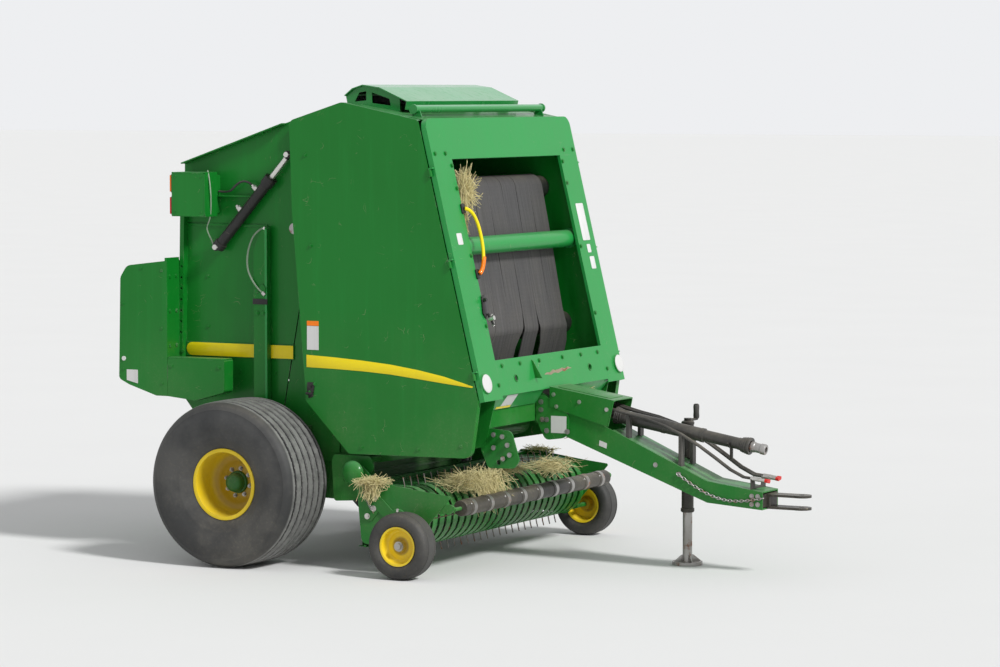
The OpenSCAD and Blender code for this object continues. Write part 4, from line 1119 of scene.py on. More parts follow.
@dataclass
class TineReel:
    """The turning reel: shaft, spider plates, four tine bars and their double spring tines."""

    centre: Point = (1.120 + AXLE_X, 0.0, 0.345)
    bar_circle: float = 0.120
    bar_radius: float = 0.014
    bar_count: int = 4
    springs: int = 12
    pitch: float = 0.087
    tip: float = 0.250
    half: float = 1.066
    wire: float = 0.0038

    def spring(self) -> Thing:
        """One double tine round a bar at the origin, its legs pointing along Z.

        Returns:
            The tine.
        """
        coil, reach, half = self.bar_radius + 0.006, self.tip - self.bar_circle - 0.004, self.pitch / 2
        rows = [(-0.016, -half, reach), (-0.006, -half, reach * 0.72), (0.0, -half, reach * 0.40),
                (0.002, -half, coil + 0.010)]
        for k in range(17):
            turn = k / 8 * tau
            rows.append((coil * sin(turn), -half + 0.004 + 0.012 * k / 16, coil * cos(turn)))
        rows.append((0.006, -0.016, coil + 0.004))
        other = [(x, -y, z) for x, y, z in reversed(rows)]
        return smooth_line(rows + [(0.010, 0.0, coil + 0.006)] + other, self.wire, 6)

    def build(self) -> None:
        """Builds the reel's bars, plates and tines."""
        (x, _, z), half = self.centre, self.half
        quarters = [tau * k / self.bar_count for k in range(self.bar_count)]
        parts = [rod((x, -half, z), (x, half, z), 0.030, 24)]
        parts += [rod((x, end * half, z), (x, end * (half + 0.0195), z), 0.020) for end in (-1, 1)]
        for turn in quarters:
            bx, bz = x + self.bar_circle * sin(turn), z + self.bar_circle * cos(turn)
            parts.append(rod((bx, -half, bz), (bx, half, bz), self.bar_radius, 14))
        arms = ((-0.30, 0.052), (-0.17, 0.128), (0.0, 0.142), (0.17, 0.128), (0.30, 0.052))
        spider = [(x + r * sin(turn + shift), z + r * cos(turn + shift)) for turn in quarters for shift, r in arms]
        for y in (-half + 0.004, -0.522, 0.0, 0.522, half - 0.004):
            parts.append(outline_plate(spider, y - 0.004, 0.008, "Y", 0.0012))
        piece("reel_bars", parts, "black_paint", "tine_reel", 30, "tine_reel")
        spots = [at(0, (i - (self.springs - 1) / 2) * self.pitch * 2, self.bar_circle) for i in range(self.springs)]
        places = [at(*self.centre) @ Matrix.Rotation(turn, 4, "Y") @ spot for turn in quarters for spot in spots]
        piece("spring_tines", repeat(self.spring(), places), "tine_steel", "tine_reel", 60)


@dataclass
class CompressorRoller:
    """The black roller ahead of the pickup, with its steel bands."""

    centre: Point = (1.500 + AXLE_X, 0.0, 0.420)
    radius: float = 0.0518
    half: float = 0.990
    pitch: float = 0.220

    def build(self) -> None:
        """Builds the roller and its bands."""
        r, middles = self.radius, [k * self.pitch for k in range(-4, 5)]
        end = [(-self.half, 0.013), (-self.half, r - 0.006), (-self.half + 0.006, r - 0.002)]
        steps = ((-0.046, r - 0.003), (-0.042, r), (0.042, r), (0.046, r - 0.003))
        profile = end + [(y + shift, radius) for y in middles for shift, radius in steps]
        profile += [(-y, radius) for y, radius in reversed(end)]
        tube = turned(profile, self.centre, 40)
        piece("compressor_tube", tube, "black_paint", "compressor_roller", 30, "compressor_roller")
        ring = ((-0.019, r - 0.001), (-0.018, r + 0.0001), (0.018, r + 0.0001), (0.019, r - 0.001))
        bands = [turned([(y + shift, radius) for shift, radius in ring], self.centre, 40) for y in middles]
        piece("compressor_bands", bands, "worn_steel", "compressor_roller", 40)


def pickup_pan() -> None:
    """The folded sheet that closes the pickup behind its reel, with three pressed ribs."""
    x, half = 0.858 + AXLE_X, 1.078
    parts = [block((x, -half, 0.162), (x + 0.0035, half, 0.503), 0.001, 1),
             block((x - 0.026, -half, 0.158), (x + 0.0035, half, 0.162), 0.001, 1)]
    for z in (0.230, 0.320, 0.410):
        parts.append(block((x - 0.007, -half + 0.03, z), (x + 0.001, half - 0.03, z + 0.022), 0.003))
    # The pan takes the darker green as painted shade behind the reel.
    piece("pickup_pan", parts, "painted_shade_green", "pickup")


# Front face and what shows through its opening


@dataclass
class FrontFace:
    """The raked front face: its plates, discs, bolts, latch and handle."""

    rake: float = radians(13.7)
    foot_x: float = 1.920 + AXLE_X
    half: float = 0.970
    top: float = 2.790
    corner: float = 0.060

    def on_face(self, y: float, z: float, out: float = 0.0) -> Point:
        """A point of the face at a height over the ground, moved outwards."""
        x = self.foot_x - tan(self.rake) * z
        return (x + out * cos(self.rake), y, z + out * sin(self.rake))

    @property
    def normal(self) -> Point:
        """The face's outward normal."""
        return (cos(self.rake), 0.0, sin(self.rake))

    def lifted(self, outline: list[Flat], start: float, thick: float, edge: float = 0.0) -> Thing:
        """A plate in the face's plane, its outline in Y and in length up the face, start and thick outwards."""
        plate = outline_plate(outline, start, thick, "X", edge)
        return moved(plate, at(self.foot_x, 0, 0) @ Matrix.Rotation(-self.rake, 4, "Y"))

    def faced(self, obj: Thing, place: Point) -> Thing:
        """Takes a piece turned round Y at the origin to a place, its axis along the normal."""
        return moved(obj, at(*place) @ turned_to(self.normal) @ turn_by(90, "X"))

    def rod(self, start: Point, end: Point, radius: float, sides: int, taper: float = 1.0) -> Thing:
        """A round bar between two points given as for on_face."""
        return rod(self.on_face(*start), self.on_face(*end), radius, sides, taper)

    def panel(self, y1: float, y2: float, z1: float, z2: float, out: float, thick: float) -> Thing:
        """A flat plate with cut corners, between two heights over the ground.

        Args:
            y1: Lower Y.
            y2: Higher Y.
            z1: Lower height.
            z2: Higher height.
            out: Distance from the face.
            thick: Thickness outwards.

        Returns:
            The plate.
        """
        a, b, r = z1 / cos(self.rake), z2 / cos(self.rake), 0.006
        rows = [(y1 + r, a), (y2 - r, a), (y2, a + r), (y2, b - r), (y2 - r, b), (y1 + r, b), (y1, b - r), (y1, a + r)]
        return self.lifted(rows, out, thick, min(thick * 0.3, 0.001))

    def apron_plate(self, y1: float, y2: float, low: float, high: float) -> Thing:
        """A thin plate on the sloping apron under the cross panel.

        Args:
            y1: Lower Y.
            y2: Higher Y.
            low: Its start up the slope, 0 to 1.
            high: Its end up the slope, 0 to 1.

        Returns:
            The plate.
        """
        foot, head = Vector((1.576 + AXLE_X, 0, 1.0023)), Vector((1.645 + AXLE_X, 0, 1.096))
        slope = head - foot
        out = Vector((slope.z, 0, -slope.x)).normalized()
        plate = outline_plate([(y1, low), (y2, low), (y2, high), (y1, high)], 0.0, 1.0, "X")
        for vertex in plate.data.vertices:
            place = foot + slope * vertex.co.z + out * (0.0002 + 0.0014 * vertex.co.x)
            vertex.co = (place.x, vertex.co.y, place.z)
        return plate

    def plates(self) -> None:
        """Blank white plates on the columns and under the cross panel, and the yellow band."""
        rows = ((0.800, 0.905, 1.985, 2.225), (0.835, 0.885, 1.905, 1.960), (0.840, 0.905, 1.800, 1.880),
                (-0.880, -0.815, 2.020, 2.090))
        piece("blank_plates_front", [self.panel(*row, 0.0002, 0.0016) for row in rows], "white_plate", "frame")
        piece("low_plate", self.apron_plate(-0.640, -0.500, 0.20, 0.93), "white_plate", "frame")
        piece("low_band", self.apron_plate(-0.690, -0.500, 0.04, 0.17), "stripe_yellow", "frame")

    def discs(self) -> None:
        """Pale reflector discs low on both columns."""
        for side in map(OneSide, BOTH):
            disc = turned(mm("0 0.4, 0 56, 1.5 57.5, 4 56, 6 50, 7 30, 7.4 0.4"), steps=48)
            place = self.on_face(side.out * (self.half - 0.055), 1.180, 0.0119)
            side.piece("reflector", self.faced(disc, place), "white_plate", "frame", 50)

    def bolts(self) -> None:
        """Bolt heads down the columns, along the seams and on the cross panel, and rims round its two holes."""
        rows = ("750 1160, 750 1520, 750 1950, 750 2360, 750 2500, 800 2575, 930 2575, 160 1272, 420 1272, 660 1272")
        places = [self.on_face(side.value * y, z) for side in BOTH for y, z in mm(rows)]
        piece("face_bolts", bolts_on(places, self.normal, 0.0085), "green_paint", "frame")
        profile = mm("-3 17.2, 3 17.2, 4.5 20, 3 24.5, 0 26, -3 24")
        rims = [self.faced(turned(profile), self.on_face(y, 1.187)) for y in (-0.510, 0.510)]
        piece("panel_hole_rims", rims, "green_paint", "frame", 40)

    def scrape(self) -> None:
        """The worn rusty scrape and the small gusset fin on the cross panel."""
        dice = random.Random(41)
        upper, lower = [], []
        for k in range(19):
            y = -0.125 + 0.375 * k / 18
            middle = 1.182 + 0.020 * k / 18 + 0.004 * sin(k * 1.3)
            half = 0.0135 * sin(pi * (k + 0.5) / 19) ** 0.6
            upper.append((y, (middle + half * dice.uniform(0.55, 1.15)) / cos(self.rake)))
            lower.append((y, (middle - half * dice.uniform(0.35, 1.05)) / cos(self.rake)))
        piece("worn_scrape", self.lifted(lower + upper[::-1], 0.0002, 0.0006), "scraped_steel", "frame", None)
        fin = [(self.foot_x - tan(self.rake) * z + out, z) for out, z in mm("0 1170, 50 1170, 12 1275, 0 1285")]
        piece("panel_gusset", outline_plate(fin, -0.262, 0.008, "Y", 0.0015), "green_paint", "frame")

    def corners(self) -> None:
        """The curved folds that close the header's two round upper corners."""
        middle, high, radius = self.half - self.corner, self.top / cos(self.rake) - self.corner, self.corner - 0.0002
        outer, inner = (arc(middle, high, r, 0, 90) for r in (radius, radius - 0.004))
        rows = [(self.half - 0.0002, high - 0.010), *outer, (middle - 0.008, high + radius),
                (middle - 0.008, high + radius - 0.004), *inner[::-1], (self.half - 0.0042, high - 0.010)]
        for side in map(OneSide, BOTH):
            fold = self.lifted([(side.out * y, z) for y, z in rows], -0.034, 0.031)
            # The folds take the lighter green as painted light, like the header.
            side.piece("header_corner", fold, "painted_sunlit_green", "frame", 50)

    def handle(self) -> None:
        """The bent yellow handle at the near column, with its orange grip end and feet."""
        rows = mm("-725 2235 12, -700 2225 30, -672 2185 42, -655 2110 46, -652 2020 44, -662 1930 40, -690 1860 28, "
                  "-715 1835 14")
        points = [self.on_face(*row) for row in rows]
        piece("pull_handle", smooth_line(points, 0.0115, 12), "stripe_yellow", "frame", 60)
        piece("handle_grip", smooth_line(finer(points[5:]), 0.0145, 12), "amber_lens", "frame", 60)
        feet = [self.panel(y - 0.030, y + 0.014, z - 0.030, z + 0.030, 0.0, 0.010) for y, z, _ in (rows[0], rows[-1])]
        piece("handle_feet", feet, "black_paint", "frame")

    def latch(self) -> None:
        """Shield latch on the near column's edge: hook plate, pin, arm, spring and knob."""
        hook = mm("-745 1700, -700 1712, -690 1655, -715 1600, -745 1560, -770 1600")
        parts = [self.lifted([(y, z / cos(self.rake)) for y, z in hook], 0.006, 0.006, 0.0015),
                 self.rod((-0.735, 1.675, 0.0), (-0.735, 1.675, 0.034), 0.010, 12),
                 self.rod((-0.722, 1.590, 0.016), (-0.690, 1.520, 0.022), 0.007, 10)]
        piece("shield_latch", parts, "black_paint", "frame")
        turns = [(k, k * tau / 8) for k in range(72)]
        coil = [self.on_face(-0.690 + 0.009 * cos(t), 1.585 - 0.075 * k / 72, 0.020 + 0.009 * sin(t)) for k, t in turns]
        piece("latch_spring", smooth_line(coil, 0.0022, 6), "plated_bolt", "frame", 60)
        knob = self.rod((-0.705, 1.560, 0.010), (-0.705, 1.560, 0.042), 0.016, 20, 0.8)
        piece("latch_knob", knob, "plated_bolt", "frame", 40)

    def build(self) -> None:
        """Builds all that sits on the front face."""
        for step in (self.plates, self.discs, self.bolts, self.scrape, self.corners, self.handle, self.latch):
            step()


@dataclass
class ShieldDress(OneSide):
    """What sits on one side shield: yellow stripe, blank plates, bolts and the rear latch."""

    face_y: float = 0.980

    def build(self) -> None:
        """Builds the stripe, the plates and the small parts."""
        body, y = f"shield_{self.word}", self.face_y
        stripe = mm("406 1320, 600 1311, 800 1298, 1006 1280, 1200 1253, 1380 1220, 1584 1166, 1575 1158, 1380 1178, "
                    "1200 1198, 1006 1219, 800 1232, 600 1239, 406 1243")
        for name, rows, finish, smooth in (("shield_stripe", stripe, "stripe_yellow", 30),
                                           ("shield_plate", rect(410, 1352, 494, 1500), "white_plate", None),
                                           ("shield_plate_band", rect(410, 1502, 494, 1532), "amber_lens", None)):
            self.piece(name, self.plate(rows, y, 0.0016, 0.0003), finish, body, smooth)
        places = self.spots("430 1090, 465 1140, 440 2000, 400 2560, 800 760, 1200 765, 1500 800", y)
        self.piece("shield_bolts", self.bolts(places, 0.0075), "green_paint", body)
        latch = [self.plate("414 1150, 458 1150, 462 1120, 454 1060, 422 1050, 410 1110", y, 0.006, 0.0015),
                 self.rod((0.436, y, 1.125), (0.436, 0.996, 1.125), 0.010, 12),
                 self.block((0.406, 0.984, 1.072), (0.456, 0.996, 1.088), 0.003)]
        self.piece("shield_latch", latch, "black_paint", body)


@dataclass
class FrontBelts:
    """The belts behind the opening: close together at the top, drifted apart lower down."""

    width: float = 0.186
    thick: float = 0.008
    top_gaps: tuple[float, ...] = (0.003, 0.003, 0.003, 0.003, 0.003, 0.003)
    low_gaps: tuple[float, ...] = (0.003, 0.004, 0.003, 0.080, 0.079, 0.003)
    rollers: tuple[tuple[float, float, float, float], ...] = (
        (1.1220, 2.330, 130.0, 13.0), (1.2895, 1.450, 13.0, -24.0), (1.1500, 0.900, -20.0, -100.0))
    roller_radius: float = 0.0752

    def centres(self, gaps: tuple[float, ...]) -> list[float]:
        """Middles of the belts in Y, from the right side to the left, for the gaps between them.

        Args:
            gaps: The gaps between the belts.

        Returns:
            A Y for each belt.
        """
        rows, edge = [], -(self.width * (len(gaps) + 1) + sum(gaps)) / 2
        for gap in (*gaps, 0.0):
            rows.append(edge + self.width / 2)
            edge += self.width + gap
        return rows

    def path(self) -> list[tuple[Flat, Flat]]:
        """Inner and outer points of the belt's run over the rollers.

        Returns:
            Rows of an inner and an outer point.
        """
        rows = []
        for x, z, first, last in self.rollers:
            near, far = (arc(x + AXLE_X, z, self.roller_radius + more, first, last) for more in (0.0, self.thick))
            rows += zip(near, far)
        full = []
        for a, b in zip(rows, rows[1:]):
            parts = max(int(dist(a[0], b[0]) / 0.08), 1)
            for t in (k / parts for k in range(parts)):
                full.append(tuple(tuple(p + (q - p) * t for p, q in zip(c, d)) for c, d in zip(a, b)))
        return full + [rows[-1]]

    def belt(self, index: int, high: float, low: float) -> Thing:
        """One belt as a strip with thickness.

        Args:
            index: The belt's number.
            high: Its middle's Y at the top.
            low: Its middle's Y lower down.

        Returns:
            The strip.
        """
        rows, columns = self.path(), (-0.5, -0.47, -0.25, 0.0, 0.25, 0.47, 0.5)
        bpy.ops.mesh.primitive_grid_add(x_subdivisions=len(columns) - 1, y_subdivisions=len(rows) - 1, size=1)
        obj = settled()
        for number, vertex in enumerate(obj.data.vertices):
            _, (x, z) = rows[number // len(columns)]
            column = columns[number % len(columns)]
            share = min(max((1.50 - z) / 0.17, 0.0), 1.0)
            ripple = 0.0022 * sin(index * 2.1 + z * 7.0) * (4 * column * column)
            vertex.co = (x - 0.0015 + ripple * 0.5, high + (low - high) * share + column * self.width, z)
        with editing():
            bpy.ops.mesh.solidify(thickness=self.thick - 0.002)
            bpy.ops.mesh.normals_make_consistent(inside=False)
        return obj

    def lacing(self, middle: float, step: int) -> Thing:
        """Wire hooks of a belt's joint.

        Args:
            middle: The belt's middle in Y.
            step: The step of the run.

        Returns:
            The hooks.
        """
        rows = self.path()
        (x, z), (nx, nz) = rows[step][1], rows[step + 1][1]
        turn = Matrix.Rotation(-atan2(nx - x, z - nz), 4, "Y")
        hook = block((-0.0022, -0.0026, -0.020), (0.0012, 0.0026, 0.020), 0.0008, 1)
        spots = [middle + (k - 9.5) * (self.width - 0.016) / 20 for k in range(20)]
        return repeat(hook, [at(x - 0.0004, y, z) @ turn for y in spots])

    def build(self) -> None:
        """Builds the belts and their lacing."""
        highs, lows = self.centres(self.top_gaps), self.centres(self.low_gaps)
        belts = [self.belt(k, a, b) for k, (a, b) in enumerate(zip(highs, lows))]
        piece("drifted_belts", belts, "belt_rubber", "frame", 30, "front_belts")
        heights = [row[1][1] for row in self.path()]
        high_steps, low_steps = ([k for k, z in enumerate(heights) if low < z < high]
                                 for low, high in ((1.96, 2.30), (1.52, 1.85)))
        laced = [self.lacing(highs[1], high_steps[2]), self.lacing(highs[5], low_steps[-1])]
        piece("belt_lacing", laced, "worn_steel", "frame")


@dataclass
class HaySpray:
    """Dry stalks caught somewhere: bent straws thrown about a middle by a seeded generator.

    The middle's X is counted from the axle, headings are degrees round Z from +X, pitches are degrees over the horizon.
    """

    name: str
    body: str
    middle: Point
    spread: Point
    count: int
    length: float
    heading: float
    fan: float
    pitch: float
    tilt: float
    seed: int

    def build(self) -> None:
        """Models one bent straw and throws its copies."""
        points = [(-0.10, -0.50), (0.0, -0.25), (0.045, 0.0), (0.0, 0.27), (-0.13, 0.50)]
        straw = smooth_line([(self.length * x, 0.0, self.length * z) for x, z in points], 0.0015, 4, 1)
        dice = random.Random(self.seed)
        places = []
        for _ in range(self.count):
            shift = [max(min(dice.gauss(0, 0.45), 1), -1) * s for s in self.spread]
            spot = [c + d for c, d in zip(from_axle(*self.middle), shift)]
            yaw = radians(self.heading + dice.uniform(-self.fan, self.fan))
            lean = radians(90 - dice.gauss(self.pitch, self.tilt))
            turn = Matrix.Rotation(yaw, 4, "Z") @ Matrix.Rotation(lean, 4, "Y")
            roll = Matrix.Rotation(dice.uniform(0, tau), 4, "Z")
            places.append(at(*spot) @ turn @ roll @ Matrix.Scale(dice.uniform(0.45, 1.15), 4))
        piece(f"hay_{self.name}", repeat(straw, places), "dry_hay", self.body, 60)


def caught_hay() -> None:
    """Hay left on the machine, as in the field."""
    for row in (
        ("in_opening", "frame", (1.325, -0.610, 2.345), (0.045, 0.075, 0.10), 420, 0.16, 0, 180, -62, 26, 3),
        ("down_the_column", "frame", (1.345, -0.668, 2.190), (0.030, 0.036, 0.13), 200, 0.14, 0, 180, -80, 14, 4),
        ("on_pickup", "pickup", (1.290, -0.480, 0.530), (0.130, 0.300, 0.045), 620, 0.18, 0, 180, -4, 17, 5),
        ("over_roller", "pickup", (1.415, -0.430, 0.480), (0.055, 0.200, 0.075), 260, 0.19, 0, 40, -58, 18, 6),
        ("on_bands", "pickup", (1.200, 0.100, 0.535), (0.110, 0.620, 0.016), 280, 0.15, 0, 180, 0, 8, 7),
        ("far_side", "pickup", (1.300, 0.620, 0.520), (0.110, 0.200, 0.040), 260, 0.16, 0, 180, -6, 16, 8),
        ("at_plate", "pickup", (0.950, -1.100, 0.565), (0.110, 0.036, 0.022), 240, 0.13, 90, 180, -8, 16, 9),
        ("hanging_at_plate", "pickup", (0.950, -1.125, 0.520), (0.080, 0.016, 0.040), 110, 0.12, -90, 50, -66, 16, 10),
        ("at_far_plate", "pickup", (0.960, 1.110, 0.565), (0.100, 0.036, 0.020), 150, 0.12, 90, 180, -6, 14, 11),
        ("on_axle", "frame", (0.0, -0.400, 0.584), (0.045, 0.420, 0.004), 150, 0.08, 0, 180, 0, 4, 12),
        ("on_axle_left", "frame", (0.0, 0.420, 0.584), (0.045, 0.380, 0.004), 120, 0.08, 0, 180, 0, 4, 13),
        ("on_tongue", "frame", (1.900, 0.0, 0.790), (0.140, 0.090, 0.006), 80, 0.07, 0, 180, 0, 5, 16),
        ("on_apron", "frame", (1.600, 0.430, 1.045), (0.014, 0.220, 0.008), 60, 0.07, 0, 180, 0, 8, 17),
    ):
        HaySpray(*row).build()


# Chamber and belly


@dataclass
class LowerDress(OneSide):
    """Low parts of one side: guard plate behind the wheel, pickup fittings and the bracket's bolts."""

    plate_y: float = 1.0855
    reel_x: float = 1.120
    reel_z: float = 0.345

    def guard(self) -> None:
        """The plate that closes the side between the axle and the pickup's hinge."""
        rows = "72 672, 72 540, 110 452, 190 412, 520 402, 548 425, 548 672"
        fold = self.plate("190 412, 520 402, 520 408, 190 418", 0.744, 0.026, 0.0015)
        self.piece("side_guard", [self.plate(rows, 0.768, 0.005, 0.0015), fold], "green_paint", "frame")

    def brackets(self) -> None:
        """Adjusting plate with its bolts, and the reel's bearing flange."""
        y = self.plate_y
        rows = "862 330, 930 318, 985 380, 1000 470, 975 560, 925 575, 890 520, 900 430"
        lug = self.plate("860 500, 892 500, 896 540, 876 552, 858 540", y, 0.034, 0.0015)
        flange = turned(mm("0 30, 0 62, 7 62, 10 58, 12 40, 24 36, 26 30, 26 0.4"))
        moved(flange, at(*self.spot(self.reel_x, y, self.reel_z)) @ Matrix.Scale(self.out, 4, (0, 1, 0)))
        if self.out < 0:
            flange.data.flip_normals()
        self.piece("pickup_brackets", [self.plate(rows, y, 0.007, 0.0015), lug, flange], "green_paint", "pickup")
        ring = [self.spot(self.reel_x + 0.050 * sin(t), 1.0920, self.reel_z + 0.050 * cos(t))
                for t in (0.0, 2.094, 4.189)]
        bolts = [self.bolts(self.spots("905 350, 950 400, 962 470, 945 540", 1.0925), 0.011, 0.010),
                 self.bolts(ring, 0.008, 0.007)]
        self.piece("pickup_bolts", bolts, "plated_bolt", "pickup")

    def spring(self) -> None:
        """The pickup's float spring with its hooks."""
        a, b, y = Vector((0.876, 0, 0.520)), Vector((0.958, 0, 0.372)), 1.108
        along = (b - a).normalized()
        aside = Vector((-along.z, 0, along.x))
        coil = []
        for k in range(105):
            spot = a + (b - a) * (0.14 + 0.72 * k / 104) + aside * (0.011 * cos(k * tau / 8))
            coil.append(self.spot(spot.x, y + 0.011 * sin(k * tau / 8), spot.z))
        parts = [smooth_line(coil, 0.0021, 6, 1)]
        for p, q in ((a, a + (b - a) * 0.16), (b, a + (b - a) * 0.84)):
            parts.append(self.rod((p.x, y, p.z), (q.x, y, q.z), 0.0021, 6))
        self.piece("float_spring", parts, "worn_steel", "pickup", 60)

    def build(self) -> None:
        """Builds this side's low parts."""
        self.guard()
        self.brackets()
        self.spring()
        places = self.spots("1625 780, 1625 860, 1690 715, 1735 740, 1720 800, 1685 850", 0.7962)
        self.piece("bracket_bolts", self.bolts(places, 0.009, 0.008), "worn_steel", "frame")


def upper_belts() -> None:
    """The belts' run under the roof, round a roller near the gate's pivot and one behind the header."""
    rear, front, radius, thick, width, count = (0.408, 2.598), (1.010, 2.618), 0.0505, 0.006, 0.190, 7
    pieces = []
    for corners in (((rear, 180), (front, 90)), ((front, 0), (rear, -90))):
        outer, inner = ([point for (x, z), start in corners for point in arc(x + AXLE_X, z, far, start, start - 90)]
                        for far in (radius + thick, radius))
        for k in range(count):
            pieces.append(outline_plate(outer + inner[::-1], (k - count / 2) * 0.204 + 0.007, width))
    piece("upper_belts", pieces, "belt_rubber", "frame", 40)
    rollers = []
    for x, z in (rear, front):
        for half, size, sides in ((0.728, radius - 0.0004, 36), (0.742, 0.018, 16)):
            rollers.append(rod(from_axle(x, -half, z), from_axle(x, half, z), size, sides))
    piece("upper_rollers", rollers, "worn_steel", "frame")


def starter_roller() -> None:
    """The ribbed drum over the pickup that starts the bale, with its two stubs."""
    x, z, half = 1.020 + AXLE_X, 0.775, 0.728
    bar = block((-0.006, -half + 0.004, 0.050), (0.006, half - 0.004, 0.0605), 0.002)
    places = [at(x, 0, z) @ Matrix.Rotation(tau * k / 12, 4, "Y") for k in range(12)]
    parts = [rod((x, -half, z), (x, half, z), 0.052, 48), repeat(bar, places)]
    parts += [rod((x, end * half, z), (x, end * (half + 0.016), z), 0.022, 24) for end in (-1, 1)]
    # The drum takes the darker green as painted shade.
    piece("starter_roller", parts, "painted_shade_green", "frame")


def belly_plate() -> None:
    """The folded plate across the machine's belly, between the two side guards."""
    x = 0.520 + AXLE_X
    parts = [block((x, -0.766, 0.420), (x + 0.004, 0.766, 0.636), 0.001, 1),
             block((x - 0.030, -0.766, 0.412), (x + 0.004, 0.766, 0.4165), 0.001, 1),
             block((x + 0.003, -0.700, 0.520), (x + 0.010, 0.700, 0.545), 0.002)]
    # The plate takes the darker green as painted shade under the body.
    piece("belly_plate", parts, "painted_shade_green", "frame")


def roof_seals() -> None:
    """Rubber strips that close the roof: under the lid, and behind the deck down towards the gate."""
    x, count, half = 0.556 + AXLE_X, 9, 0.745
    pieces = [block((x, -0.715, 2.846), (x + 0.005, 0.715, 2.927), 0.001, 1)]
    rows = [(a + AXLE_X, z) for a, z in mm("474 2848, 482 2848, 478 2775, 468 2702, 461 2703, 470 2776")]
    for k in range(count):
        pieces.append(outline_plate(rows, -half + 2 * half * k / count + 0.0015, 2 * half / count - 0.003))
    piece("roof_curtain", pieces, "hose_rubber", "frame", 40)


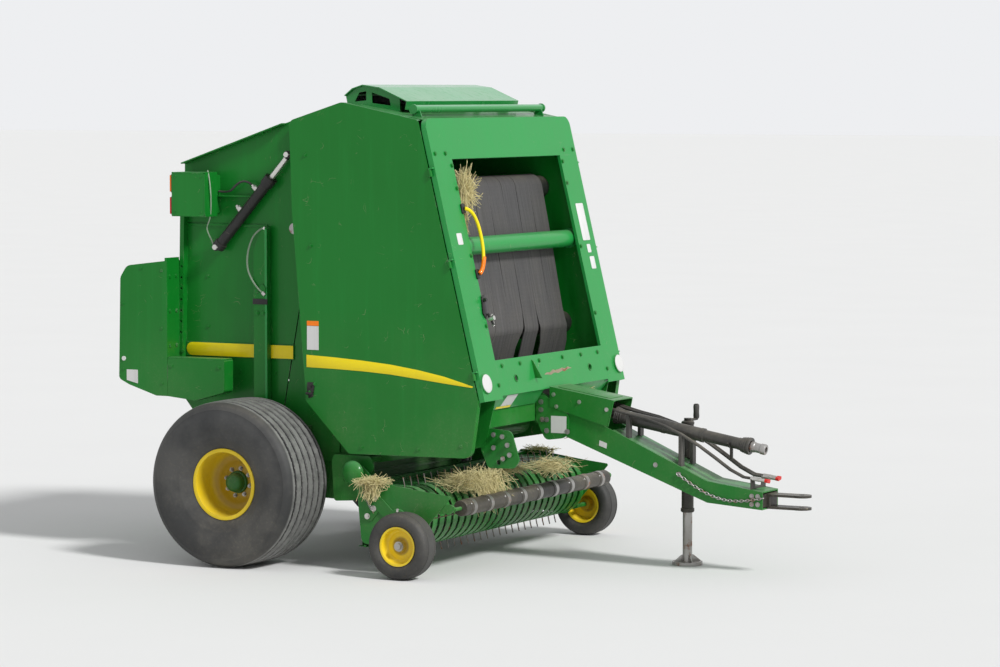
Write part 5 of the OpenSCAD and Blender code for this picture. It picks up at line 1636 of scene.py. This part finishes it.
@dataclass
class ChainDrive:
    """The chains behind the left shield: roller chains with their links, toothed sprockets, shafts and collars.

    A sprocket is a row of its X from the axle, its Z and its pitch radius.
    """

    pitch: float = 0.0254
    upper_y: float = 0.847
    lower_y: float = 0.825
    upper: tuple[Point, ...] = ((1.380, 0.990, 0.060), (1.122, 2.330, 0.080))
    lower: tuple[Point, ...] = ((1.380, 0.990, 0.060), (0.760, 1.080, 0.120), (1.150, 0.900, 0.070))

    def run(self, rows: tuple[Point, ...]) -> list[Flat]:
        """A chain's points, a pitch apart.

        Args:
            rows: The sprockets.

        Returns:
            Points in X from the axle, and Z.
        """
        edges = []
        for a, b in zip(rows, rows[1:] + rows[:1]):
            along = Vector((b[0] - a[0], b[1] - a[1]))
            lean = atan2(along.y, along.x) - acos((a[2] - b[2]) / along.length)
            out = Vector((cos(lean), sin(lean)))
            edges.append((Vector(a[:2]) + out * a[2], Vector(b[:2]) + out * b[2], lean))
        dense: list[Vector] = []
        for k, (start, end, lean) in enumerate(edges):
            before, (x, z, r) = edges[k - 1][2], rows[k]
            turns = [before + (lean - before) % tau * i / 24 for i in range(24)]
            dense += [Vector((x + r * cos(t), z + r * sin(t))) for t in turns]
            dense += [start.lerp(end, i / 12) for i in range(12)]
        lengths = [(b - a).length for a, b in zip(dense, dense[1:] + dense[:1])]
        count = 2 * round(sum(lengths) / self.pitch / 2)
        step, spots, walked, k = sum(lengths) / count, [], 0.0, 0
        for i in range(count):
            while walked + lengths[k] < i * step:
                walked += lengths[k]
                k += 1
            spot = dense[k].lerp(dense[(k + 1) % len(dense)], (i * step - walked) / lengths[k])
            spots.append((spot.x, spot.y))
        return spots

    def link(self, wide: float) -> Thing:
        """Two waisted link plates from the origin to one pitch along X.

        Args:
            wide: Their width over all.

        Returns:
            The plates.
        """
        half, r = self.pitch / 2, 0.0066
        rows = arc(0, 0, r, -90, -270, 4) + [(half, 0.0048)] + arc(self.pitch, 0, r, 90, -90, 4) + [(half, -0.0048)]
        return join([outline_plate(rows, y, 0.0016) for y in (-wide / 2, wide / 2 - 0.0016)])

    def chain(self, rows: tuple[Point, ...], y: float) -> list[Thing]:
        """One closed roller chain: outer and inner links by turns, rollers and pins.

        Args:
            rows: The sprockets.
            y: The chain's middle.

        Returns:
            Its parts.
        """
        spots = self.run(rows)
        places: list[list[Matrix]] = [[], []]
        pins = []
        for k, (a, b) in enumerate(zip(spots, spots[1:] + spots[:1])):
            pins.append(at(a[0] + AXLE_X, y, a[1]))
            places[k % 2].append(pins[-1] @ Matrix.Rotation(-atan2(b[1] - a[1], b[0] - a[0]), 4, "Y"))
        roller = [rod((0, -0.0048, 0), (0, 0.0048, 0), 0.0052, 8), rod((0, -0.0069, 0), (0, 0.0069, 0), 0.0024, 6)]
        links = [repeat(self.link(wide), spread) for wide, spread in zip((0.0134, 0.0098), places)]
        return links + [repeat(join(roller), pins)]

    def sprocket(self, row: Point, y: float) -> list[Thing]:
        """A toothed sprocket with a raised hub.

        Args:
            row: Its X, Z and pitch radius.
            y: Its middle.

        Returns:
            The disc and the hub.
        """
        x, z, r = row[0] + AXLE_X, row[1], row[2]
        teeth = round(tau * r / self.pitch)
        tooth = mm("-300 -6, -130 2, -50 4.5, 50 4.5, 130 2, 300 -6")
        turns = [(tau * (k + share) / teeth, r + more) for k in range(teeth) for share, more in tooth]
        disc = outline_plate([(x + far * cos(t), z + far * sin(t)) for t, far in turns], y - 0.0036, 0.0072)
        hub = [(-0.010, 0.025), (-0.010, r * 0.52), (-0.008, r * 0.55), (0.006, r * 0.55), (0.008, r * 0.52),
               (0.008, 0.025)]
        return [disc, turned(hub, (x, y, z), 40)]

    def build(self) -> None:
        """Builds the chains, sprockets, shafts and bearing bolts."""
        chains = self.chain(self.upper, self.upper_y) + self.chain(self.lower, self.lower_y)
        piece("roller_chains", chains, "oiled_chain", "frame", 35)
        wheels = [part for row in self.upper for part in self.sprocket(row, self.upper_y)]
        wheels += [part for row in self.lower for part in self.sprocket(row, self.lower_y)]
        shaft = mm("786.5 0.4, 786.5 60, 793 60, 796 52, 806 46, 808 24, 856.5 24, 858 22.5, 858 0.4")
        shafts, nuts = [], []
        for x, z in ((1.380, 0.990), (1.150, 0.900), (0.760, 1.080), (1.122, 2.330)):
            shafts.append(turned(shaft, from_axle(x, 0.0, z)))
            ring = [from_axle(x + 0.052 * cos(t), 0.793, z + 0.052 * sin(t)) for t in (0.8, 2.37, 3.94, 5.51)]
            nuts.append(bolts_on(ring, (0, 1, 0), 0.0075, 0.006))
        piece("drive_sprockets", wheels + shafts, "black_paint", "frame", 30, "chain_drive")
        piece("bearing_bolts", nuts, "plated_bolt", "frame")


# Gate


@dataclass
class GateDress(OneSide):
    """What sits on one side of the gate: stripe, post parts, cylinder ports, lamp trim, hoses and bolts."""

    sheet_y: float = 0.786
    post_y: float = 0.850
    cylinder_y: float = 0.836

    def post(self) -> None:
        """Bolted joint, a lighter strip painted as a highlight on the front edge, bolts, lug and the pale looping hose
        of the post.
        """
        y = self.post_y
        self.piece("post_strap", self.plate(rect(-64, 1615, 44, 1650), y, 0.006, 0.0015), "black_paint", "frame")
        # A thin strip in the lighter green, a painted highlight where the sun catches the post's front edge.
        edge = self.plate("24 864, 39.6 864, 39.6 2084, 24 2098", y, 0.003)
        self.piece("post_highlight_strip", edge, "painted_sunlit_green", "frame")
        places = [self.spot(x, y + 0.0005, z) for x in (-0.035, 0.010) for z in (1.560, 1.700, 0.900, 0.980)]
        self.piece("post_bolts", self.bolts(places, 0.010), "green_paint", "frame")
        loop = ("12 842 2100, -30 866 2075, -66 872 2020, -98 868 1920, -96 866 1830, -60 862 1760, -20 860 1712, "
                "10 856 1690")
        self.piece("post_hose", self.line(loop, 0.0062, 10), "pale_hose", "frame", 60)
        ends = [self.rod(a, b, 0.0125, 12) for a, b in (((0.012, 0.842, 2.100), (0.020, 0.838, 2.092)),
                                                        ((0.010, 0.856, 1.690), (0.024, 0.852, 1.676)))]
        self.piece("post_hose_ends", ends, "plated_bolt", "frame", 40)
        lug = self.plate("-10 1690, 30 1690, 36 1720, 10 1745, -12 1725", y, 0.010, 0.002)
        self.piece("post_lug", lug, "green_paint", "frame")

    def cylinder(self) -> None:
        """Ports, glands, rod, end pins and hose of the tension cylinder."""
        low, high = Vector((-0.330, 0, 1.970)), Vector((0.200, 0, 2.560))
        along = (high - low).normalized()
        up, y = Vector((-along.z, 0, along.x)), self.cylinder_y

        def bar(a: Vector, b: Vector, radius: float, sides: int) -> Thing:
            """A round bar in the cylinder's plane."""
            return self.rod((a.x, y, a.z), (b.x, y, b.z), radius, sides)

        ports, glands, pins = [], [], []
        for base in (low + (high - low) * t for t in (0.364, 0.585)):
            for start, end, *size in ((0.028, 0.046, 0.017, 14), (0.046, 0.060, 0.014, 6), (0.060, 0.072, 0.009, 12)):
                ports.append(bar(base + up * start, base + up * end, *size))
        self.piece("cylinder_ports", ports, "plated_bolt", "gate", 40)
        for t, reach, radius in ((0.004, 0.030, 0.0365), (0.680, 0.050, 0.0375), (0.725, 0.018, 0.030)):
            a = low + (high - low) * t
            glands.append(bar(a, a + along * reach, radius, 28))
        self.piece("cylinder_glands", glands, "black_paint", "gate")
        shine = bar(low + (high - low) * 0.742, high - along * 0.034, 0.0166, 24)
        self.piece("cylinder_rod", shine, "plated_bolt", "gate", 40)
        for p in (low, high):
            pins.append(self.rod((p.x, 0.866, p.z), (p.x, 0.880, p.z), 0.015, 20))
            pins.append(self.rod((p.x - 0.021, 0.874, p.z), (p.x + 0.021, 0.874, p.z), 0.0028, 8))
        self.piece("cylinder_pins", pins, "plated_bolt", "gate", 40)
        first = low + (high - low) * 0.585 + up * 0.072
        shifts = mm("0 0 0, -40 0 34, -110 0 20, -160 -4 -40")
        route = [(first.x + dx, y + dy, first.z + dz) for dx, dy, dz in shifts]
        route += [(first.x - 0.200, 0.822, 2.322), (-0.290, 0.816, 2.318), (-0.338, 0.812, 2.322)]
        hose = smooth_line([self.spot(*p) for p in route], 0.0075)
        self.piece("cylinder_hose", hose, "hose_rubber", "gate", 60)

    def lamps(self) -> None:
        """Seams, screws, lens frames and the cable of the lamp box."""
        rows = ((-345, 2168, -338, 2442), (-583, 2435, -338, 2442), (-583, 2168, -338, 2175))
        trims = [self.plate(rect(*row), 0.9795, 0.0015, 0.0004) for row in rows]
        self.piece("lamp_box_trim", trims, "green_paint", "gate")
        places = [self.spot(x, 0.9800, z) for x in (-0.560, -0.365) for z in (2.195, 2.415)]
        self.piece("lamp_screws", self.bolts(places, 0.005, 0.003), "green_paint", "gate")
        rims = []
        for low, high in ((2.314, 2.431), (2.174, 2.291)):
            for y1, y2, z1, z2 in ((0.842, 0.974, low, low + 0.009), (0.842, 0.974, high - 0.009, high),
                                   (0.842, 0.851, low, high), (0.965, 0.974, low, high)):
                rims.append(self.block((-0.5935, y1, z1), (-0.5845, y2, z2), 0.0015, 1))
        self.piece("lens_frames", rims, "black_paint", "gate")
        cable = ("-362 900 2443, -350 930 2470, -326 945 2420, -318 940 2330, -325 925 2232, -345 905 2140, "
                 "-392 880 2100, -396 850 2050, -390 815 2010, -385 796 1960")
        self.piece("lamp_cable", self.line(cable, 0.0042, 8), "pale_hose", "gate", 60)

    def bolts_and_folds(self) -> None:
        """Bolts of the rear flange, the mounts and the pivot, a seam and the fold over the lower shield."""
        places = [self.spot(-0.605 + 0.0002 * k, 0.8365, 1.080 + 0.110 * k) for k in range(3)]
        places += self.spots("-595 1215, -240 1215", 0.9802)
        places += self.spots("-200 1180, 60 1180, -440 1460, -440 1780", 0.7862)
        self.piece("gate_bolts", self.bolts(places, 0.008, 0.006), "green_paint", "gate")
        head = [self.rod((0.270, a, 2.735), (0.270, b, 2.735), *size)
                for a, b, *size in ((0.8202, 0.826, 0.040, 28), (0.8255, 0.842, 0.026, 6))]
        self.piece("pivot_bolt", head, "plated_bolt", "frame")
        seam = self.plate(rect(-600, 2100, 10, 2116), self.sheet_y, 0.010, 0.002)
        self.piece("seam", seam, "green_paint", "gate")
        fold = self.plate(rect(-622, 1261.5, -204, 1270), 0.876, 0.1035, 0.002)
        self.piece("fold", fold, "green_paint", "gate")

    def build(self) -> None:
        """Builds the stripe along the raised rib, round at its rear end, and all of this side's parts."""
        rows = mm("198 1273.5, 198 1356.5") + arc(-0.555, 1.315, 0.0415, 90, 270)
        stripe = self.plate(rows, self.sheet_y + 0.0121, 0.0012, 0.0003)
        self.piece("gate_stripe", stripe, "stripe_yellow", "gate")
        self.post()
        self.cylinder()
        self.lamps()
        self.bolts_and_folds()


@dataclass
class NetBoxDress:
    """Trim of the net box: bolts, discs, blank plates, and the lid's grips, ribs and reflectors."""

    rear_x: float = -0.9935
    half: float = 0.980

    def box(self) -> None:
        """Bolts, discs and blank plates on the box."""
        bolts = []
        for side in map(OneSide, BOTH):
            disc = side.rod((-0.955, self.half, 1.250), (-0.955, self.half + 0.004, 1.250), 0.013, 24)
            side.piece("box_disc", disc, "white_plate", "gate", 40)
            plate = side.plate("-935 1112, -850 1092, -850 1180, -935 1180", self.half, 0.0016, 0.0003)
            side.piece("box_plate", plate, "white_plate", "gate", None)
            rows = "-665 1100, -665 1450, -665 1820, -820 1830, -960 1600, -960 1180"
            bolts.append(side.bolts(side.spots(rows, self.half + 0.0002), 0.006, 0.004))
            places = [side.spot(-0.6255, y, z) for y in (0.870, 0.945) for z in (1.120, 1.340, 1.560, 1.780)]
            bolts.append(bolts_on(places, (1, 0, 0), 0.008, 0.006))
        piece("net_box_bolts", bolts, "green_paint", "gate")

    def build(self) -> None:
        """Builds the box's trim, then the lid's."""
        self.box()
        x = self.rear_x + AXLE_X
        grip = mm("14 -73, 8.5 -68, 6.3 -45, 6.1 0, 6.3 45, 8.5 68, 14 73")
        grips = [smooth_line([(x + dx, y + dy, 1.262) for dx, dy in grip], 0.006, 12) for y in (-0.520, 0.520)]
        piece("lid_handles", grips, "black_paint", "net_lid", 60)
        ribs = []
        for z in (1.300, 1.470, 1.640):
            wall = x + (z - 1.120) * 0.014 / 0.650
            ribs.append(block((wall, -0.880, z - 0.012), (wall + 0.0049, 0.880, z + 0.012), 0.002))
        piece("lid_ribs", ribs, "green_paint", "net_lid")
        marks = [block((x, y - 0.045, 1.196), (x + 0.005, y + 0.045, 1.224), 0.002) for y in (-0.860, 0.860)]
        piece("rear_reflectors", marks, "red_lens", "net_lid")


# Tongue


@dataclass
class TongueDress:
    """Small parts of the tongue: plates, bolts, guard cones, hose couplers, jack fittings, chain and hood trim."""

    slope: float = radians(9.5)
    start: Point = (1.745 + AXLE_X, 0.0, 0.990)
    jack_x: float = 2.480 + AXLE_X
    jack_y: float = 0.180

    @property
    def lean(self) -> Matrix:
        """Takes X at the origin to the shaft's line."""
        return at(*self.start) @ Matrix.Rotation(self.slope, 4, "Y")

    def along_shaft(self, profile: list[Flat], steps: int) -> Thing:
        """A piece turned round the shaft's line."""
        return moved(turned(profile, steps=steps), self.lean @ turn_by(-90, "Z"))

    def shaft(self) -> None:
        """Rubber cones with their ribs, the guard's rings, the joints and the holder under the front one."""
        guard = mm("330 30, 331 54, 334 55.5, 340 54.5, 344 51, 350 52.5, 354 48, 362 49.5, 366 45, 376 46.5, "
                   "380 42.5, 390 42.2, 944 42.2, 948 41, 950 37, 1202 36.2, 1206 46, 1214 44.5, 1218 49, 1228 47.5, "
                   "1232 51.5, 1242 50, 1246 53.5, 1262 54, 1265 52, 1264 36, 1200 28, 390 28")
        rings = [self.along_shaft(guard, 40)]
        for reach, r in ((0.400, 0.0422), (0.668, 0.0422), (0.935, 0.0422), (1.192, 0.0362)):
            steps = ((-0.012, r - 0.001), (-0.010, r + 0.0022), (0.010, r + 0.0022), (0.012, r - 0.001))
            rings.append(self.along_shaft([(reach + shift, radius) for shift, radius in steps], 40))
        piece("shaft_guard", rings, "guard_plastic", "frame", 40)
        head = mm("0.5 0.4, 0.5 26, 4 28, 26 28, 30 24, 326 24, 330 0.4")
        tail = mm("1264 30, 1268 33.5, 1290 33.5, 1294 30, 1330 30, 1334 33.5, 1360 33.5, 1365 31, 1365 17.6, "
                  "1306 17.6, 1306 0.4, 1264 0.4")
        cross = [block((0.030, -0.016, -0.030), (0.110, 0.016, 0.030), 0.006),
                 rod((0.105, -0.034, 0), (0.105, 0.034, 0), 0.011),
                 block((0.100, -0.030, -0.016), (0.180, 0.030, 0.016), 0.006)]
        parts = [self.along_shaft(rows, 32) for rows in (head, tail)] + [moved(part, self.lean) for part in cross]
        piece("shaft_joints", parts, "worn_steel", "frame", 35)
        x, z = self.start[0] + 1.130 * cos(self.slope), self.start[2] - 1.130 * sin(self.slope)
        foot = block((x - 0.008, -0.010, 0.694), (x + 0.008, 0.010, z - 0.036), 0.002)
        turns = [radians(a) for a in (-66, -44, -22, 0, 22, 44, 66)]
        cradle = smooth_line([(x, 0.062 * sin(t), z - 0.038 + 0.060 * (1 - cos(t))) for t in turns], 0.006, 8)
        piece("shaft_holder", [foot, cradle], "black_paint", "frame", 40, "drive_shaft")

    def plates(self) -> None:
        """Blank plates and bolts on the tongue, its ears and its hood."""
        for side in map(OneSide, BOTH):
            for name, rows, y in (("tongue_plate", rect(1680, 818, 1788, 925), 0.1321),
                                  ("tongue_small_plate", "2010 752, 2062 735, 2066 768, 2014 785", 0.1201)):
                side.piece(name, side.plate(rows, y, 0.0016, 0.0003), "white_plate", "frame", None)
            for name, rows, y, radius, height, finish in (
                ("ear_bolts", "1610 960, 1610 1010, 1650 830, 1650 900, 1795 830, 1620 900", 0.1322, 0.010, 0.008,
                 "worn_steel"),
                ("hood_bolts", "1700 1060, 1880 1020, 2070 980, 1720 985", 0.1363, 0.008, 0.008, "plated_bolt"),
                ("tongue_bolts", "2400 650, 2560 600, 3050 440, 3050 490, 3090 440, 3090 490", 0.1202, 0.009, 0.007,
                 "worn_steel"),
            ):
                side.piece(name, side.bolts(side.spots(rows, y), radius, height), finish, "frame")

    def hood(self) -> None:
        """A rounded bead round the hood's dark front opening, and a pressed top."""
        rows = mm("-134 880, -134 960, -134 1026, -126 1036, 0 1037, 126 1036, 134 1026, 134 960, 134 880")
        route = [from_axle(2.078 + (z - 0.872) * 0.038 / 0.161, y, z) for y, z in rows]
        piece("hood_bead", smooth_line(finer(route), 0.004, 8), "green_paint", "frame", 60)
        rows = mm("1720 -95, 2060 -95, 2075 -80, 2075 80, 2060 95, 1720 95, 1705 80, 1705 -80")
        top = outline_plate([(x + AXLE_X, y) for x, y in rows], 0.0, 0.004, "Z", 0.0015)
        for vertex in top.data.vertices:
            vertex.co.z += 1.1089 - (vertex.co.x - AXLE_X - 1.672) * 0.070 / 0.446
        piece("hood_pressing", top, "green_paint", "frame")

    def couplers(self) -> None:
        """Hose ends with their quick couplers and coloured dust caps, and the hoses' holder."""
        ends, caps = [], []
        along = Vector((1.0, 0.0, -0.10)).normalized()
        for side in BOTH:
            for k in (0, 1):
                a = Vector(from_axle(3.055, side.value * (0.072 + 0.024 * k), 0.590 + 0.004 * k))
                for start, end, *size in ((-0.020, 0.024, 0.0115, 16), (0.024, 0.038, 0.0105, 6),
                                          (0.038, 0.078, 0.0095, 16)):
                    ends.append(rod(a + along * start, a + along * end, *size))
                caps.append(rod(a + along * 0.074, a + along * 0.092, 0.0112))
        piece("hose_couplers", ends, "plated_bolt", "frame", 40)
        piece("dust_caps", caps, "red_lens", "frame", 40)
        rows = mm("112 500, 112 588, 104 606, 64 606, 56 588, 44 545")
        holder = outline_plate([(-y, z) for y, z in rows] + rows[::-1], 3.036 + AXLE_X, 0.006, "X", 0.0015)
        piece("hose_holder", holder, "black_paint", "frame")

    def upright(self, table: str, y: float, z: float, steps: int = 32) -> Thing:
        """A piece turned round an upright axis beside the jack's."""
        return moved(turned(mm(table), steps=steps), at(self.jack_x, self.jack_y + y, z) @ turn_by(90, "X"))

    def jack(self) -> None:
        """The jack's collars, crank grip, foot ribs and bolts."""
        collars = [self.upright("-12 37, -10 43, 10 43, 12 37", 0.0, 0.345),
                   self.upright("-10 23, -10 41, 4 41, 10 34, 14 23", 0.0, 0.892)]
        piece("jack_collars", collars, "black_paint", "frame", 40)
        grip = self.upright("-40 12.5, -44 17, -30 19.5, 0 18, 30 19.5, 44 17, 40 12.5", 0.125, 0.952, 24)
        piece("jack_grip", grip, "guard_plastic", "frame", 50)
        ribs = [self.upright("0 88, 0 94.5, 18 94.5, 20 92, 20 88", 0.0, 0.0, 48)]
        for k in range(4):
            rib = outline_plate(mm("30 19, 88 19, 86 26, 40 62, 30 64"), -0.003, 0.006, "Y", 0.001)
            ribs.append(moved(rib, at(self.jack_x, self.jack_y, 0.0) @ turn_by(45 + 90 * k, "Z")))
        piece("jack_foot_ribs", ribs, "worn_steel", "jack")
        places = [(self.jack_x + dx, 0.1202, z) for dx in (-0.036, 0.036) for z in (0.590, 0.650)]
        piece("jack_bolts", bolts_on(places, (0, 1, 0), 0.010), "plated_bolt", "frame")

    def chain(self) -> None:
        """A safety chain laid along the tongue's right side and hooked at its nose."""
        ring = [(0.008 * cos(t), 0.0, 0.016 * sin(t)) for t in (tau * k / 10 for k in range(11))]
        places, count = [], 30
        for k in range(count):
            t = k / (count - 1)
            z = 0.600 - 0.120 * t - 0.075 * sin(pi * t)
            heading = atan2(0.560, -0.120 - 0.075 * pi * cos(pi * t))
            turn = Matrix.Rotation(heading, 4, "Y") @ turn_by(90 * (k % 2), "Z")
            places.append(at(*from_axle(2.560 + 0.560 * t, -0.131, z)) @ turn)
        piece("safety_chain", repeat(smooth_line(ring, 0.0032, 6, 2), places), "worn_steel", "frame", 60)

    def build(self) -> None:
        """Builds the tongue's small parts."""
        for step in (self.shaft, self.plates, self.hood, self.couplers, self.jack, self.chain):
            step()


# Stage


@dataclass
class Studio:
    """Floor, world, lamp and the camera."""

    camera_place: Point = (10.6, -19.9, 2.96)
    target: Point = (0.05, 0.0, 1.42)
    lens: float = 128.0
    sun_from: Point = (0.84, -0.25, 0.70)
    pale: Colour = (0.82, 0.82, 0.81)
    lit: float = 0.52
    seen: float = 0.88

    def floor(self) -> None:
        """A pale floor that keeps the shadows."""
        choose([])
        bpy.ops.mesh.primitive_plane_add(size=400, location=(0, 0, -0.001))
        floor = settled()
        floor.name = floor.data.name = "studio_floor"
        p = Palette("pale_floor")
        grain = p.texture("TexNoise", {"Scale": 0.7}).outputs["Fac"]
        shade = p.blend(self.pale, tuple(c * 0.97 for c in self.pale), grain)
        p.give(Base_Color=shade, Roughness=0.9, Specular_IOR_Level=0.1)
        floor.data.materials.append(p.material)
        floor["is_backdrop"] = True

    def world(self) -> None:
        """An even pale sky, brighter for what the camera sees of it."""
        world = bpy.context.scene.world = bpy.data.worlds.new("pale_sky")
        world.use_nodes = True
        sky = Graph(world.node_tree)
        rays = sky.node("LightPath").outputs
        also = sky.maths("MAXIMUM", rays["Is Glossy Ray"], rays["Is Transmission Ray"])
        seen = sky.maths("MAXIMUM", rays["Is Camera Ray"], also)
        level = sky.node("MapRange", {"Value": seen, "To Min": self.lit, "To Max": self.seen}).outputs[0]
        back = sky.tree.nodes["Background"]
        sky.tree.links.new(level, back.inputs["Strength"])
        back.inputs["Color"].default_value = (0.97, 0.98, 1.0, 1)

    def lamp(self) -> None:
        """A soft key from the front right, high up."""
        choose([])
        bpy.ops.object.light_add(type="SUN", location=(6, -6, 8))
        sun = bpy.context.object
        sun.name = "key_light"
        sun.data.energy = 2.7
        sun.data.angle = radians(9)
        sun.rotation_euler = Vector(self.sun_from).to_track_quat("Z", "Y").to_euler()

    def camera(self) -> None:
        """The camera stands where the photograph was taken, with a longer lens."""
        choose([])
        bpy.ops.object.camera_add(location=self.camera_place)
        camera = bpy.context.scene.camera = bpy.context.object
        camera.name = "photo_camera"
        aim = Vector(self.target) - Vector(self.camera_place)
        camera.rotation_euler = aim.to_track_quat("-Z", "Y").to_euler()
        camera.data.sensor_width = 36
        camera.data.lens = self.lens
        camera.data.clip_end = 500

    def build(self) -> None:
        """Sets up everything that isn't part of the object."""
        for step in (self.floor, self.world, self.lamp, self.camera):
            step()
        bpy.context.scene.view_settings.view_transform = "Standard"
        log.info("studio ready")


def write_sizes() -> None:
    """Works out the construction's box and the dressed object's box, and keeps neither."""
    boxes = {"cad": CAD_BOX, "visual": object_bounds()}
    {key: [list(corner) for corner in pair] for key, pair in boxes.items()}


def main() -> None:
    """Builds the baler's looks in order."""
    Studio().build()
    dress_construction()
    for side in BOTH:
        for dress in (MainWheel, GaugeWheel, ShieldDress, GateDress, LowerDress):
            dress(side).build()
    for build in (pickup_pan, starter_roller, upper_belts, belly_plate, roof_seals, ChainDrive().build,
                  FrontFace().build, FrontBelts().build, NetBoxDress().build, TongueDress().build, caught_hay,
                  TineReel().build, CompressorRoller().build):
        build()
    write_sizes()


if __name__ == "__main__":
    main()
